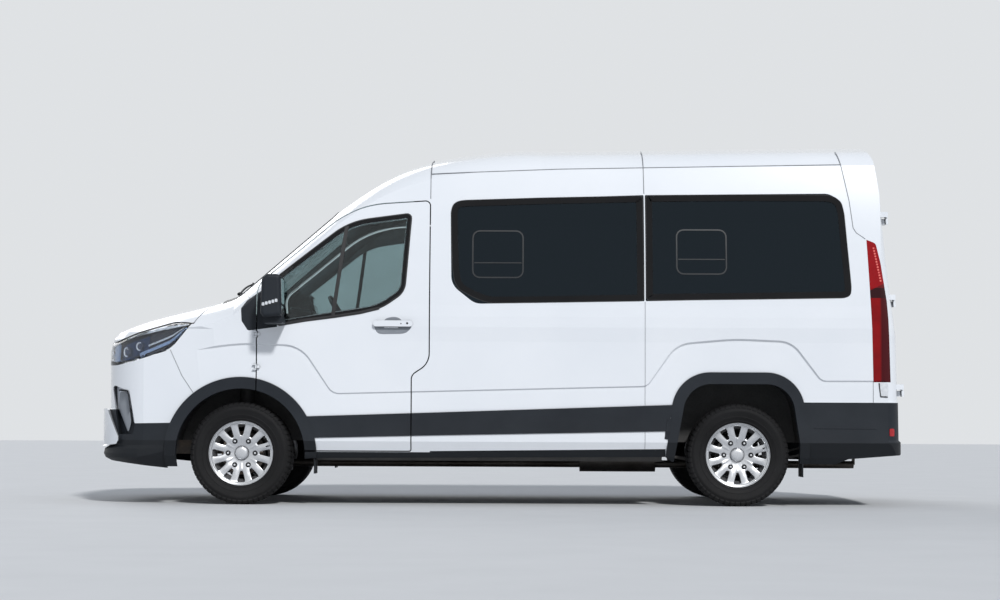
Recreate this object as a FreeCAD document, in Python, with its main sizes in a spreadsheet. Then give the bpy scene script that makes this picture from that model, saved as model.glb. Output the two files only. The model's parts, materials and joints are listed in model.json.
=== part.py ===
import FreeCAD, Part
import math
import os
import Sketcher
from FreeCAD import Placement, Rotation, Vector

# Full-size minibus. X runs rearward, Y to the vehicle's right, Z up; the origin is on the
# ground under the middle of the bounding box. All sizes are in millimetres.

os.makedirs("parts", exist_ok=True)
doc = FreeCAD.newDocument("minibus")
sheet = doc.addObject("Spreadsheet::Sheet", "sizes")

# Driving dimensions: alias, value, meaning.
SIZES = [
    ("nose_x", -2773, "foremost point"),
    ("tail_x", 2773, "rearmost point"),
    ("front_axle_x", -1733, "front wheel centres"),
    ("wheelbase", 3366, "front to rear wheel centres"),
    ("tyre_radius", 346, "outer radius of a tyre"),
    ("tyre_width", 232, "width of a tyre"),
    ("bead_radius", 204, "radius of the tyre's bead seat"),
    ("lip_radius", 219, "radius of the rim's outer lip"),
    ("nut_circle", 92, "radius of the wheel nuts' circle"),
    ("track_half", 866, "half the distance between wheel centres"),
    ("kingpin_y", 786, "steering axis to the middle"),
    ("half_width", 1031, "half the body width at the belt"),
    ("side_step", 14, "how far the side steps in under the crease"),
    ("wall", 50, "thickness of a wall or door"),
    ("door_skin", 14, "full-size outer layer of a door"),
    ("pane", 6, "thickness of a pane"),
    ("door_gap", 8, "gap round a moving panel"),
    ("seam_width", 4, "width of the groove where fixed panels meet"),
    ("arch_opening", 437, "radius of the front wheel opening"),
    ("arch_trim", 515, "outer radius of the front arch cladding"),
    ("floor_top", 560, "height of the cabin floor"),
    ("rail_bottom", 440, "underside of the rear rails"),
    ("engine_length", 480, "engine block, fore and aft"),
    ("engine_width", 600, "engine block, across"),
    ("engine_height", 630, "engine block, up"),
    ("tank_length", 780, "fuel tank, fore and aft"),
    ("tank_width", 430, "fuel tank, across"),
    ("pipe_radius", 27, "exhaust pipe"),
    ("disc_radius", 148, "brake disc"),
]
for row, (alias, value, meaning) in enumerate(SIZES, 1):
    sheet.set(f"A{row}", alias)
    sheet.set(f"B{row}", str(value))
    sheet.set(f"C{row}", meaning)
    sheet.setAlias(f"B{row}", alias)
doc.recompute()


def size(alias):
    return float(getattr(sheet, alias))


NOSE = size("nose_x")
TAIL = size("tail_x")
FRONT = size("front_axle_x")
REAR = FRONT + size("wheelbase")
HUB = size("tyre_radius")
TRACK = size("track_half")
PIN = size("kingpin_y")
HALF = size("half_width")
STEP = size("side_step")
WALL = size("wall")
SKIN = size("door_skin")
PANE = size("pane")
GAP = size("door_gap")
SEAM = size("seam_width")
ARCH = size("arch_opening")
TRIM = size("arch_trim")
FLOOR = size("floor_top")
RAIL = size("rail_bottom")

X_AXIS = Vector(1, 0, 0)
Y_AXIS = Vector(0, 1, 0)
Z_AXIS = Vector(0, 0, 1)
ORIGIN = Vector(0, 0, 0)
BIG = 1400.0


# Shape helpers

def line(a, b):
    return Part.LineSegment(Vector(*a), Vector(*b)).toShape()


def arc(a, m, b):
    return Part.Arc(Vector(*a), Vector(*m), Vector(*b)).toShape()


def outline(points):
    """Closed flat wire in XY from (a, b) or (a, b, r) rows, with corner radius r."""
    rows = [(p[0], p[1], p[2] if len(p) > 2 else 0.0) for p in points]
    cuts = []
    for i, (a, b, r) in enumerate(rows):
        here = Vector(a, b, 0)
        prev = Vector(rows[i - 1][0], rows[i - 1][1], 0)
        after = Vector(rows[(i + 1) % len(rows)][0], rows[(i + 1) % len(rows)][1], 0)
        if r <= 0:
            cuts.append((here, None, here))
            continue
        u = (prev - here).normalize()
        v = (after - here).normalize()
        half = u.getAngle(v) / 2
        reach = r / math.tan(half)
        middle = (u + v).normalize()
        centre = here + middle * (r / math.sin(half))
        cuts.append((here + u * reach, centre - middle * r, here + v * reach))
    edges = []
    for i, (start, mid, end) in enumerate(cuts):
        if mid is not None:
            edges.append(Part.Arc(start, mid, end).toShape())
        nxt = cuts[(i + 1) % len(cuts)][0]
        if (nxt - end).Length > 1e-6:
            edges.append(Part.LineSegment(end, nxt).toShape())
    return Part.Wire(edges)


def moved_out(points, gap):
    """Outline rows moved sideways by gap, to the left of their direction, radii kept parallel."""
    rows = [(p[0], p[1], p[2] if len(p) > 2 else 0.0) for p in points]
    moved = []
    for i, (a, b, r) in enumerate(rows):
        before = Vector(a - rows[i - 1][0], b - rows[i - 1][1], 0).normalize()
        after_row = rows[(i + 1) % len(rows)]
        after = Vector(after_row[0] - a, after_row[1] - b, 0).normalize()
        left = Vector(-before.y - after.y, before.x + after.x, 0).normalize()
        stretch = gap / (left.x * -before.y + left.y * before.x)
        turn = before.x * after.y - before.y * after.x
        radius = r - gap if turn > 0 else r + gap
        moved.append((a + left.x * stretch, b + left.y * stretch, radius if r > 0 else 0.0))
    return moved


def grown(wire, gap):
    """The same flat wire moved outward by gap, or inward when gap is negative."""
    if gap == 0:
        return wire
    return wire.makeOffset2D(gap, 2)


def shifted(points, dx):
    """Outline rows moved along their first axis."""
    return [(p[0] + dx, *p[1:]) for p in points]


def extruded(wire, low, high, axis):
    """Solid from a flat XY wire read as (X, Z) for y, (Y, Z) for x, or (X, Y) for z."""
    turned = Part.Face(wire)
    if axis == "y":
        turned.Placement = Placement(ORIGIN, Rotation(X_AXIS, Z_AXIS, Y_AXIS * -1, "XYZ"))
        turned.translate(Vector(0, low, 0))
        return turned.extrude(Vector(0, high - low, 0))
    if axis == "x":
        turned.Placement = Placement(ORIGIN, Rotation(Y_AXIS, Z_AXIS, X_AXIS, "XYZ"))
        turned.translate(Vector(low, 0, 0))
        return turned.extrude(Vector(high - low, 0, 0))
    turned.translate(Vector(0, 0, low))
    return turned.extrude(Vector(0, 0, high - low))


def plate(points, low, high, axis, gap=0.0):
    return extruded(grown(outline(points), gap), low, high, axis)


def box(x0, y0, z0, x1, y1, z1):
    return Part.makeBox(x1 - x0, y1 - y0, z1 - z0, Vector(x0, y0, z0))


def rod(start, end, radius):
    way = Vector(*end) - Vector(*start)
    return Part.makeCylinder(radius, way.Length, Vector(*start), way)


def other(shape):
    """The mirror image on the other side of the vehicle."""
    return shape.mirror(ORIGIN, Y_AXIS)


def cut_both(shape, tool):
    """Cuts a right-hand tool and its mirror image."""
    return shape.cut(tool).cut(other(tool))


# Outer body

SIDE_R = 4583.0
SIDE_Z = 1110.0
SIDE_Y = HALF + 3 - SIDE_R
BELT = 1275.0
LOW_TOP = 1150.0


def side_y(z, inset=0.0):
    """Half width of the leaning upper side at height z."""
    return SIDE_Y + math.sqrt((SIDE_R - inset) ** 2 - (z - SIDE_Z) ** 2)


def prism_along(rows, mid_top=None):
    """Prism along the vehicle from the right half (y, z) of its section."""
    x = NOSE - 90
    edges = [line((x, -rows[0][0], rows[0][1]), (x, rows[0][0], rows[0][1]))]
    for s in (1, -1):
        right = [(x, s * y, z) for y, z in rows]
        edges += [line(a, b) for a, b in zip(right[:-1], right[1:])]
        if mid_top:
            (my, mz), (ty, tz) = mid_top
            edges.append(arc(right[-1], (x, s * my, mz), (x, s * ty, tz)))
    last = mid_top[1] if mid_top else rows[-1]
    edges.append(line((x, -last[0], last[1]), (x, last[0], last[1])))
    face = Part.Face(Part.Wire(Part.__sortEdges__(edges)))
    return face.extrude(Vector(TAIL - NOSE + 180, 0, 0))


# The crease in side view (x, z, radius): it rises over both wheels, and the side under it
# lies further in. The rows run clockwise round the lower area.
CREASE_FRONT = [(-597, 700, 60), (-417, 1032, 180), (13, 1088, 1500), (403, 1072, 220), (620, 748, 90)]
CREASE_REAR = [(-618, 806, 70), (-418, 1092, 200), (-33, 1128, 1500), (357, 1112, 180), (557, 846, 70)]
CREASE = [(NOSE - 300, 100), (NOSE - 300, 700)] + shifted(CREASE_FRONT, FRONT)
CREASE += shifted(CREASE_REAR, REAR) + [(TAIL + 300, 848), (TAIL + 300, 100)]


def crease_cutter(inset):
    """What the upper side loses under the crease, on the right, with a sloping ledge."""
    wires = []
    for gap, y in ((-STEP, HALF - STEP - 6), (11, HALF + 5)):
        flat = outline(moved_out(CREASE, gap))
        flat.Placement = Placement(ORIGIN, Rotation(X_AXIS, Z_AXIS, Y_AXIS * -1, "XYZ"))
        flat.translate(Vector(0, y - inset, 0))
        wires.append(flat)
    return Part.makeLoft(wires, True, True)


def side_prism(inset, creased=True):
    top = ((side_y(2000, inset), 2000.0), (side_y(2700, inset), 2700.0))
    low = [(930, 236), (985, 330), (HALF - 5, 430), (HALF - STEP, LOW_TOP)]
    low_rows = [(y - inset, z) for y, z in low]
    if not creased:
        rows = low_rows[:-1] + [(HALF - inset - 5, 757), (side_y(BELT, inset), BELT)]
        return prism_along(rows, top)
    upper = prism_along([(HALF - inset, 600), (HALF - inset, 757), (side_y(BELT, inset), BELT)], top)
    return cut_both(upper, crease_cutter(inset)).fuse(prism_along(low_rows))


# Top surface. Columns: x, crown height, crown arc's end (y, height), height where the
# shoulder meets the side, and how much an inset counts vertically on the slope.
BONNET_ROWS = [
    (-2863, 1030, 690, 988, 880, 1.05),
    (-2560, 1238, 735, 1184, 1060, 1.05),
    (-2250, 1340, 760, 1281, 1145, 1.05),
    (-1790, 1472, 778, 1410, 1275, 1.1),
]
SCREEN_ROWS = [
    (-1790, 1472, 778, 1410, 1275, 1.32),
    (-1100, 2072, 765, 2000, 1895, 1.32),
]
FOREHEAD_ROWS = [
    (-1100, 2072, 765, 2000, 1895, 1.25),
    (-850, 2252, 750, 2174, 2063, 1.2),
    (-640, 2362, 738, 2280, 2166, 1.1),
    (-400, 2435, 728, 2350, 2234, 1.0),
    (-70, 2486, 722, 2397, 2282, 1.0),
    (300, 2501, 720, 2411, 2299, 1.0),
]
ROOF_ROWS = [
    (300, 2501, 720, 2411, 2299, 1.0),
    (2863, 2539, 720, 2449, 2338, 1.0),
]


def top_section(x, crown, y_t, z_t, z_s, steep, inset):
    """Closed section whose top is a crown arc, tangent shoulder arcs and sloping ends."""
    drop = crown - z_t
    crown = crown - inset * steep
    z_t = z_t - inset * steep
    y_t = y_t - 0.3 * inset
    z_s = z_s - 0.6 * inset * steep
    y_s = side_y(max(z_s, BELT), inset)
    tilt = 2 * math.atan2(drop, y_t)
    chord = math.atan2(z_t - z_s, y_s - y_t)
    if chord <= tilt:
        raise ValueError(f"shoulder too flat at {x}")
    span = math.hypot(z_t - z_s, y_s - y_t)
    radius = span / (2 * math.sin(chord - tilt))
    centre = (y_t - radius * math.sin(tilt), z_t - radius * math.cos(tilt))
    last = 2 * chord - tilt + math.radians(12)

    def on(angle):
        return centre[0] + radius * math.sin(angle), centre[1] + radius * math.cos(angle)

    end = on(last)
    mid = on(0.5 * (tilt + last))
    out = (1250.0, end[1] - (1250.0 - end[0]) * math.tan(last))
    right = [(x, y_t, z_t), (x, mid[0], mid[1]), (x, end[0], end[1]), (x, out[0], out[1])]
    left = [(x, -y, z) for _, y, z in right]
    edges = [arc(left[0], (x, 0, crown), right[0])]
    edges += [arc(*right[:3]), line(right[2], right[3]), line(right[3], (x, 1250, -2000))]
    edges += [line((x, 1250, -2000), (x, -1250, -2000)), line((x, -1250, -2000), left[3])]
    edges += [line(left[3], left[2]), arc(left[2], left[1], left[0])]
    return Part.Wire(edges)


def top_loft(inset):
    tables = [(BONNET_ROWS, False), (SCREEN_ROWS, True), (FOREHEAD_ROWS, False), (ROOF_ROWS, True)]
    parts = []
    for rows, ruled in tables:
        parts.append(Part.makeLoft([top_section(*row, inset) for row in rows], True, ruled))
    return parts


# Nose in plan at several heights: height, and how far its foremost point is behind the nose.
NOSE_ROWS = [
    (150, 273),
    (255, 173),
    (276, 83),
    (312, 13),
    (340, 0),
    (374, 8),
    (398, 46),
    (735, 42),
    (1037, 40),
    (1120, 61),
    (1185, 123),
    (1500, 473),
    (2900, 473),
]
# Tail in plan at several heights: height, and how far its rearmost point is ahead of the tail.
TAIL_ROWS = [
    (150, 83),
    (335, 18),
    (356, 0),
    (436, 0),
    (450, 14),
    (706, 17),
    (722, 21),
    (1162, 31),
    (1660, 95),
    (2120, 135),
    (2370, 173),
    (2900, 393),
]


def nose_trim(inset):
    wires = []
    for z, back in NOSE_ROWS:
        x = NOSE + back + inset
        front = [(x + 62, -700), (x, 0), (x + 62, 700)]
        corner = [(x + 62, 700), (x + 155, HALF - 159 - 0.7 * inset), (x + 335, HALF - 53 - inset)]
        flank = [corner[2], (-1980, HALF - 7 - inset), (-1600, HALF + 31 - inset)]
        edges = [arc(*[(a, b, z) for a, b in front])]
        for s in (1, -1):
            edges.append(arc(*[(a, s * b, z) for a, b in corner]))
            edges.append(arc(*[(a, s * b, z) for a, b in flank]))
            edges.append(line((flank[2][0], s * flank[2][1], z), (3200, s * flank[2][1], z)))
        edges.append(line((3200, -flank[2][1], z), (3200, flank[2][1], z)))
        wires.append(Part.Wire(Part.__sortEdges__(edges)))
    return Part.makeLoft(wires, True, True)


def tail_trim(inset):
    wires = []
    wide = HALF + 44 - inset
    for z, ahead in TAIL_ROWS:
        x = TAIL - ahead - inset
        back = [(x - 26, -880), (x, 0), (x - 26, 880)]
        corner = [(x - 26, 880), (x - 66, HALF - 46 - 0.7 * inset), (x - 150, HALF + 5 - inset)]
        edges = [arc(*[(a, b, z) for a, b in back])]
        for s in (1, -1):
            edges.append(arc(*[(a, s * b, z) for a, b in corner]))
            edges.append(line((corner[2][0], s * corner[2][1], z), (1200, s * wide, z)))
            edges.append(line((1200, s * wide, z), (-3200, s * wide, z)))
        edges.append(line((-3200, -wide, z), (-3200, wide, z)))
        wires.append(Part.Wire(Part.__sortEdges__(edges)))
    return Part.makeLoft(wires, True, True)


# The body's underside in side view: nose lip, sills and rear bumper. Everything lies above it.
UNDERSIDE = [
    (NOSE - 200, 326),
    (NOSE + 30, 300),
    (NOSE + 190, 284),
    (NOSE + 361, 263),
    (NOSE + 573, 240),
    (FRONT - 300, 240),
    (FRONT + 493, 316),
    (REAR - 493, 332),
    (REAR - 451, 300),
    (REAR + 412, 290),
    (TAIL - 480, 286),
    (TAIL - 396, 322),
    (TAIL - 70, 348),
    (TAIL + 200, 354),
    (TAIL + 200, 3000),
    (NOSE - 200, 3000),
]


def body_volume(inset, creased=True):
    """The whole closed body, every face moved inward by inset."""
    core = side_prism(inset, creased).common(nose_trim(inset)).common(tail_trim(inset))
    slices = [part.common(core) for part in top_loft(inset)]
    return slices[0].fuse(slices[1:])


above = plate(UNDERSIDE, -BIG, BIG, "y")
outer = body_volume(0).common(above)
inner = body_volume(WALL, False)
shell = outer.cut(inner)
skin_layer = outer.cut(body_volume(PANE))
door_face = outer.cut(body_volume(SKIN))
door_core = shell.cut(door_face)


# Openings in side view

def side(points, gap=0.0, low=560.0, high=BIG):
    """Prism through the right side of the body."""
    return plate(points, low, high, "y", gap)


def circle_y(x, z, r, low=560.0, high=BIG):
    return rod((x, low, z), (x, high, z), r)


def strip(points, half=SEAM / 2):
    """Thin prism through the right side that follows an open line in side view."""
    upper, lower = [], []
    for i, (a, b) in enumerate(points):
        before = points[max(i - 1, 0)]
        after = points[min(i + 1, len(points) - 1)]
        way = Vector(after[0] - before[0], after[1] - before[1], 0).normalize()
        upper.append((a - way.y * half, b + way.x * half))
        lower.append((a + way.y * half, b - way.x * half))
    return side(upper + lower[::-1])


CAB_REAR = -455
PILLAR_REAR = -583
MID_SEAM = 1000
DOOR_FRONT = FRONT + 109
WING_END = DOOR_FRONT - GAP
DOOR = [
    (DOOR_FRONT, 368),
    (DOOR_FRONT, 1498, 120),
    (-975, 2033, 700),
    (-459 - GAP / 2, 2067, 30),
    (-459 - GAP / 2, 960, 120),
    (PILLAR_REAR, 880, 60),
    (PILLAR_REAR, 368, 10),
]
FRONT_GLASS = [
    (-1486, 1208, 10),
    (-1486, 1550, 10),
    (-1010, 1925, 500),
    (-584, 1984, 30),
    (-627, 1440, 130),
    (-800, 1318, 400),
    (-1300, 1240, 300),
]
SIDE_GLASS_FRONT = [
    (-322, 2070, 90),
    (MID_SEAM - 4, 2116, 8),
    (MID_SEAM - 4, 1384, 8),
    (-150, 1362, 120),
    (-312, 1490, 130),
]
SIDE_GLASS_REAR = [
    (MID_SEAM + 4, 2116, 8),
    (2330, 2132, 110),
    (2396, 1415, 50),
    (MID_SEAM + 4, 1384, 8),
]
REAR_ARCH = [
    (REAR - 455, 200),
    (REAR - 343, 826, 190),
    (REAR + 352, 826, 190),
    (REAR + 414, 420),
    (REAR + 414, 200),
]
REAR_ARCH_TRIM = [
    (REAR - 509, 200),
    (REAR - 421, 905, 260),
    (REAR + 399, 905, 260),
    (REAR + 479, 500),
    (REAR + 479, 200),
]
LAMP = [
    (-3000, 1098),
    (-2600, 1098, 100),
    (-2440, 1158, 300),
    (-2190, 1232, 200),
    (-2068, 1224, 6),
    (-2215, 1044, 150),
    (-2480, 962, 300),
    (-2600, 940, 100),
    (-3000, 940),
]
TAIL_LAMP = [
    (2400, 1830),
    (2480, 1822),
    (2568, 1786, 30),
    (2600, 1640),
    (2641, 1388, 200),
    (2650, 1271, 200),
    (2661, 842),
    (2400, 842),
]
GUTTER = [(CAB_REAR, 2262), (424, 2298), (2351, 2337)]
CORNER_LINE = [(2330, 2448), (2351, 2337), (2398, 2082), (2419, 1892), (2439, 1859), (2506, 1812)]
LAMP_LINE = [(2506, 1812), (2534, 1200), (2540, 842), (2540, 704)]
PILLAR_LINE = [(WING_END, 1345), (-1676, 1392), (-1745, 1450), (-1790, 1490)]
WING_LINE = [(-2215, 1044), (-2131, 865), (-2050, 748)]

# The sliding door on the right; the left side has one fixed panel instead.
SLIDE = [(CAB_REAR + 8, 392), (CAB_REAR + 8, 2232), (MID_SEAM - 4, 2268), (MID_SEAM - 4, 392)]

# Grooves where fixed panels meet
left_seams = [
    strip([(CAB_REAR, 368), (CAB_REAR, 2262)]),
    strip([(MID_SEAM, 386), (MID_SEAM, 1380)]),
    strip([(MID_SEAM, 2118), (MID_SEAM, 2308)]),
]
right_seams = [
    plate(SLIDE, 560, BIG, "y", SEAM / 2).cut(plate(SLIDE, 550, BIG + 10, "y", -SEAM / 2)),
    strip([(CAB_REAR, 2238), (CAB_REAR, 2262)]),
]
both_seams = [
    strip(GUTTER),
    strip(CORNER_LINE),
    strip([(2540, 842), (2540, 704)]),
    strip(PILLAR_LINE[1:]),
    strip(WING_LINE),
]
seams = Part.makeCompound([other(s) for s in left_seams + both_seams] + right_seams + both_seams)
roof_seam = box(CAB_REAR - SEAM / 2, -BIG, 2264, CAB_REAR + SEAM / 2, BIG, 2700)
shell = shell.cut(skin_layer.common(seams)).cut(skin_layer.common(roof_seam))

arch_zone = circle_y(FRONT, HUB, TRIM)
rear_zone = side(REAR_ARCH_TRIM)

# The bonnet's plan: it narrows over the shoulder towards the cowl.
BONNET_PLAN = [
    (-3000, -1300),
    (-2068, -1300),
    (-2068, -1012),
    (-1977, -835, 40),
    (-1890, -745, 30),
    (-1872, 0, 4000),
    (-1890, 745, 30),
    (-1977, 835, 40),
    (-2068, 1012),
    (-2068, 1300),
    (-3000, 1300),
]
BONNET_UNDER = [
    (-3100, 1098),
    (-2600, 1098, 100),
    (-2440, 1158, 300),
    (-2190, 1232, 200),
    (-2068, 1224, 6),
    (-1700, 1224),
    (-1700, 2600),
    (-3100, 2600),
]


def bonnet_tool(gap):
    return plate(BONNET_PLAN, 600, 2600, "z", gap).common(plate(BONNET_UNDER, -BIG, BIG, "y", gap))


bonnet_shape = shell.common(bonnet_tool(-GAP / 2 - 1.5))
bonnet_hole = bonnet_tool(GAP / 2 + 0.5)

# Bonnet hinges: pins on the cowl, lugs on the bonnet
PIN_X = -1871
PIN_Z = 1440
for s in (1, -1):
    low, high = sorted((s * 165, s * 195))
    lug = rod((PIN_X, low, PIN_Z), (PIN_X, high, PIN_Z), 9)
    lug = lug.fuse(box(PIN_X - 16, low, PIN_Z - 9, PIN_X, high, PIN_Z + 3))
    lug = lug.cut(rod((PIN_X, low - 15, PIN_Z), (PIN_X, high + 15, PIN_Z), 5.3))
    bonnet_shape = bonnet_shape.fuse(lug)

# Windscreen in plan
SCREEN_PLAN = [
    (-1772, -845, 30),
    (-1112, -800, 40),
    (-1112, 800, 40),
    (-1772, 845, 30),
]
windscreen_shape = skin_layer.common(plate(SCREEN_PLAN, 1200, 2600, "z"))
screen_hole = plate(SCREEN_PLAN, 1200, 2600, "z", -32)

# The nose: wings, bumper, lower bumper, grille, lamps and cowl
WING_REAR = [
    (WING_END, 200),
    (WING_END, 1345),
    (-1676, 1392),
    (-1745, 1450),
    (-1790, 1490),
    (-1790, 2700),
    (2900, 2700),
    (2900, 200),
]
BUMPER_FRONT = [
    (-3000, 200),
    (-1900, 200),
    (-1900, 700),
    (-2050, 748),
    (-2131, 865),
    (-2215, 1044),
    (-2262, 1098),
    (-3000, 1098),
]
LOWER_FRONT = [
    (-3000, 200),
    (-2000, 200),
    (-2000, 553),
    (-2470, 545, 20),
    (-2500, 640, 20),
    (-3000, 640),
]
FOG_SLOT = [
    (-2640, 812, 20),
    (-2499, 762, 20),
    (-2455, 540, 60),
    (-2470, 470, 20),
    (-2575, 470),
    (-2610, 640),
]
ACCENT = [
    (-2790, 612),
    (-2735, 646, 10),
    (-2670, 646, 16),
    (-2577, 455, 10),
    (-2577, 430, 10),
    (-2592, 405, 10),
    (-2728, 388),
    (-2722, 449),
]
GRILLE_HALF = 545
GRILLE_LOW = 735
GRILLE_HIGH = 1098
behind_wing = plate(WING_REAR, -BIG, BIG, "y").fuse(box(-1772, -845, 1200, -1600, 845, 2700))
bumper_zone = plate(BUMPER_FRONT, -BIG, BIG, "y")
lower_zone = plate(LOWER_FRONT, -BIG, BIG, "y")
lamp_zone = side(LAMP, 0, GRILLE_HALF)
lamp_zone = lamp_zone.fuse(other(lamp_zone))
grille_zone = box(-2900, -GRILLE_HALF, GRILLE_LOW, -2550, GRILLE_HALF, GRILLE_HIGH)
cowl_zone = box(-1885, -835, 1200, -1772, 835, 1700)
cowl_zone = cowl_zone.fuse(box(-1910, -730, 1200, -1884, 730, 1700))


def recess(tool, depth):
    """The part of a tool that lies in the nose's outer layer of the given depth."""
    return tool.cut(nose_trim(depth))


front_part = shell.cut(behind_wing).cut(bonnet_hole)
front_part = cut_both(front_part, arch_zone)
headlamps_shape = front_part.common(lamp_zone)
front_part = front_part.cut(lamp_zone)
grille_shape = front_part.common(grille_zone)
front_part = front_part.cut(grille_zone)
slot = recess(side(FOG_SLOT, 0, 640), 34)
bumper_lower_shape = cut_both(front_part.common(lower_zone), slot)
front_bumper_shape = cut_both(front_part.common(bumper_zone).cut(lower_zone), slot)
front_part = front_part.cut(bumper_zone).cut(lower_zone)
cowl_shape = front_part.common(cowl_zone)
wings_shape = front_part.cut(cowl_zone)

# Grille bars: four deep pockets one above the other
GRILLE_SLOTS = 4
GRILLE_BAR = 18
slot_height = (GRILLE_HIGH - GRILLE_LOW - 58 - GRILLE_BAR * (GRILLE_SLOTS - 1)) / GRILLE_SLOTS
pockets = []
for i in range(GRILLE_SLOTS):
    z = GRILLE_LOW + 30 + i * (slot_height + GRILLE_BAR)
    pockets.append(box(-2900, 30 - GRILLE_HALF, z, -2550, GRILLE_HALF - 30, z + slot_height))
grille_shape = grille_shape.cut(recess(Part.makeCompound(pockets), 30))
intakes = [box(-2900, -430, z, -2550, 430, z + 85) for z in (410, 513)]
bumper_lower_shape = bumper_lower_shape.cut(recess(Part.makeCompound(intakes), 30))

# Body-coloured pieces that stand proud at the corners of the bumper
proud = nose_trim(0)
proud.translate(Vector(-48, 0, 0))
accent = plate(ACCENT, 570, 1100, "y").common(recess(proud, 3))
ACCENTS = [accent, other(accent)]
bumper_lower_shape = bumper_lower_shape.cut(Part.makeCompound(ACCENTS))
front_bumper_shape = front_bumper_shape.cut(Part.makeCompound(ACCENTS))

rest = shell.common(behind_wing)
cowl_shape = cowl_shape.fuse(rest.common(cowl_zone))
for s in (1, -1):
    low, high = sorted((s * 160, s * 200))
    cowl_shape = cowl_shape.cut(rod((PIN_X, low, PIN_Z), (PIN_X, high, PIN_Z), 14))
    ears = rod((PIN_X, low - 10, PIN_Z), (PIN_X, high + 10, PIN_Z), 5)
    for y in (150, 202):
        near, far = sorted((s * y, s * (y + 8)))
        ears = ears.fuse(box(PIN_X - 4, near, PIN_Z - 8, PIN_X + 14, far, PIN_Z + 4))
    cowl_shape = cowl_shape.fuse(ears)
rest = rest.cut(cowl_zone).cut(windscreen_shape).cut(screen_hole)
rest = cut_both(cut_both(rest, arch_zone), rear_zone)

# Roof and tail regions
CAP = [(CAB_REAR, 2262), (CAB_REAR, 2800), (2330, 2800), (2330, 2448), (2351, 2337), (424, 2298)]
roof_zone = plate(CAP, -BIG, BIG, "y")
roof_shape = rest.common(roof_zone)
rest = rest.cut(roof_zone)
CORNER = CORNER_LINE[1:] + LAMP_LINE[1:] + [(3000, 704), (3000, 2800), (2330, 2800), (2330, 2448)]
tail_part = rest.common(plate(CORNER, -BIG, BIG, "y"))
rest = rest.cut(plate(CORNER, -BIG, BIG, "y"))
rear_bumper_zone = box(REAR + 427, -BIG, 200, 3000, BIG, 704)
rear_bumper_shape = rest.common(rear_bumper_zone)
rest = rest.cut(rear_bumper_zone)

# Sills, side panels, glass and the sliding door
SILL = [(-1300, 200), (-1300, 358), (-451, 358), (-451, 366), (1140, 386), (1140, 200)]
sill_zone = plate(SILL, -BIG, BIG, "y")
sill_shape = rest.common(sill_zone)
rest = rest.cut(sill_zone)
cab_zone = box(-1900, -BIG, 200, CAB_REAR, BIG, 2700)
cab = rest.common(cab_zone)
rest = rest.cut(cab_zone)
panes = [skin_layer.common(side(rows)) for rows in (SIDE_GLASS_FRONT, SIDE_GLASS_REAR)]
holes = [side(rows, -30) for rows in (SIDE_GLASS_FRONT, SIDE_GLASS_REAR)]
for cutter in panes + holes:
    rest = cut_both(rest, cutter)
side_glass_shape = Part.makeCompound([p for pane in panes for p in (pane, other(pane))])

# Cladding plates lie in a seat in the side, proud of it by a few millimetres.
PLATE_IN = HALF - 15
PLATE_OUT = HALF + 2
BAND = [
    (-1300, 451),
    (-448, 472),
    (1140, 506),
    (1200, 684),
    (-449, 625),
    (-1300, 596),
]
band_zone = cut_both(plate(BAND, PLATE_IN, BIG, "y"), arch_zone).cut(rear_zone)
rest = cut_both(rest, band_zone)
cab = cut_both(cab, band_zone)
middle_zone = box(CAB_REAR, -BIG, 200, MID_SEAM, BIG, 2700)
middle = rest.common(middle_zone)
quarters_shape = rest.cut(middle_zone)
side_left_shape = middle.common(box(CAB_REAR, -BIG, 200, MID_SEAM, 0, 2700))
right_middle = middle.common(box(CAB_REAR, 0, 200, MID_SEAM, BIG, 2700))
sliding_shape = right_middle.common(side(SLIDE))
side_right_shape = right_middle.cut(side(SLIDE))

# The sliding door's rail runs in a groove along the right quarter panel.
quarters_shape = quarters_shape.cut(box(1040, HALF - 12, 1150, 2380, BIG, 1190))

# Front door on the right, mirrored later
door_cut = side(DOOR, GAP)
cab_shape = cut_both(cab, door_cut)
door_body = door_face.common(side(DOOR)).fuse(door_core.common(side(DOOR, -SKIN)))
door_body = door_body.cut(arch_zone).cut(band_zone)
door_pane = skin_layer.common(side(FRONT_GLASS))
SAIL_DOOR = [(DOOR_FRONT, 1182), (DOOR_FRONT, 1429), (-1567, 1468), (-1490, 1545), (-1490, 1200)]
SAIL_WING = [
    (-1735, 1325, 20),
    (-1696, 1381),
    (WING_END, 1424),
    (WING_END, 1180),
    (-1687, 1174, 20),
    (-1730, 1240, 20),
]
sail_door = skin_layer.common(side(SAIL_DOOR))
sail_wing = skin_layer.common(side(SAIL_WING))
door_right = door_body.cut(side(FRONT_GLASS, -34)).cut(door_pane).cut(sail_door)
cab_shape = cut_both(cab_shape, sail_wing)
wings_shape = cut_both(wings_shape, sail_wing)

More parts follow.
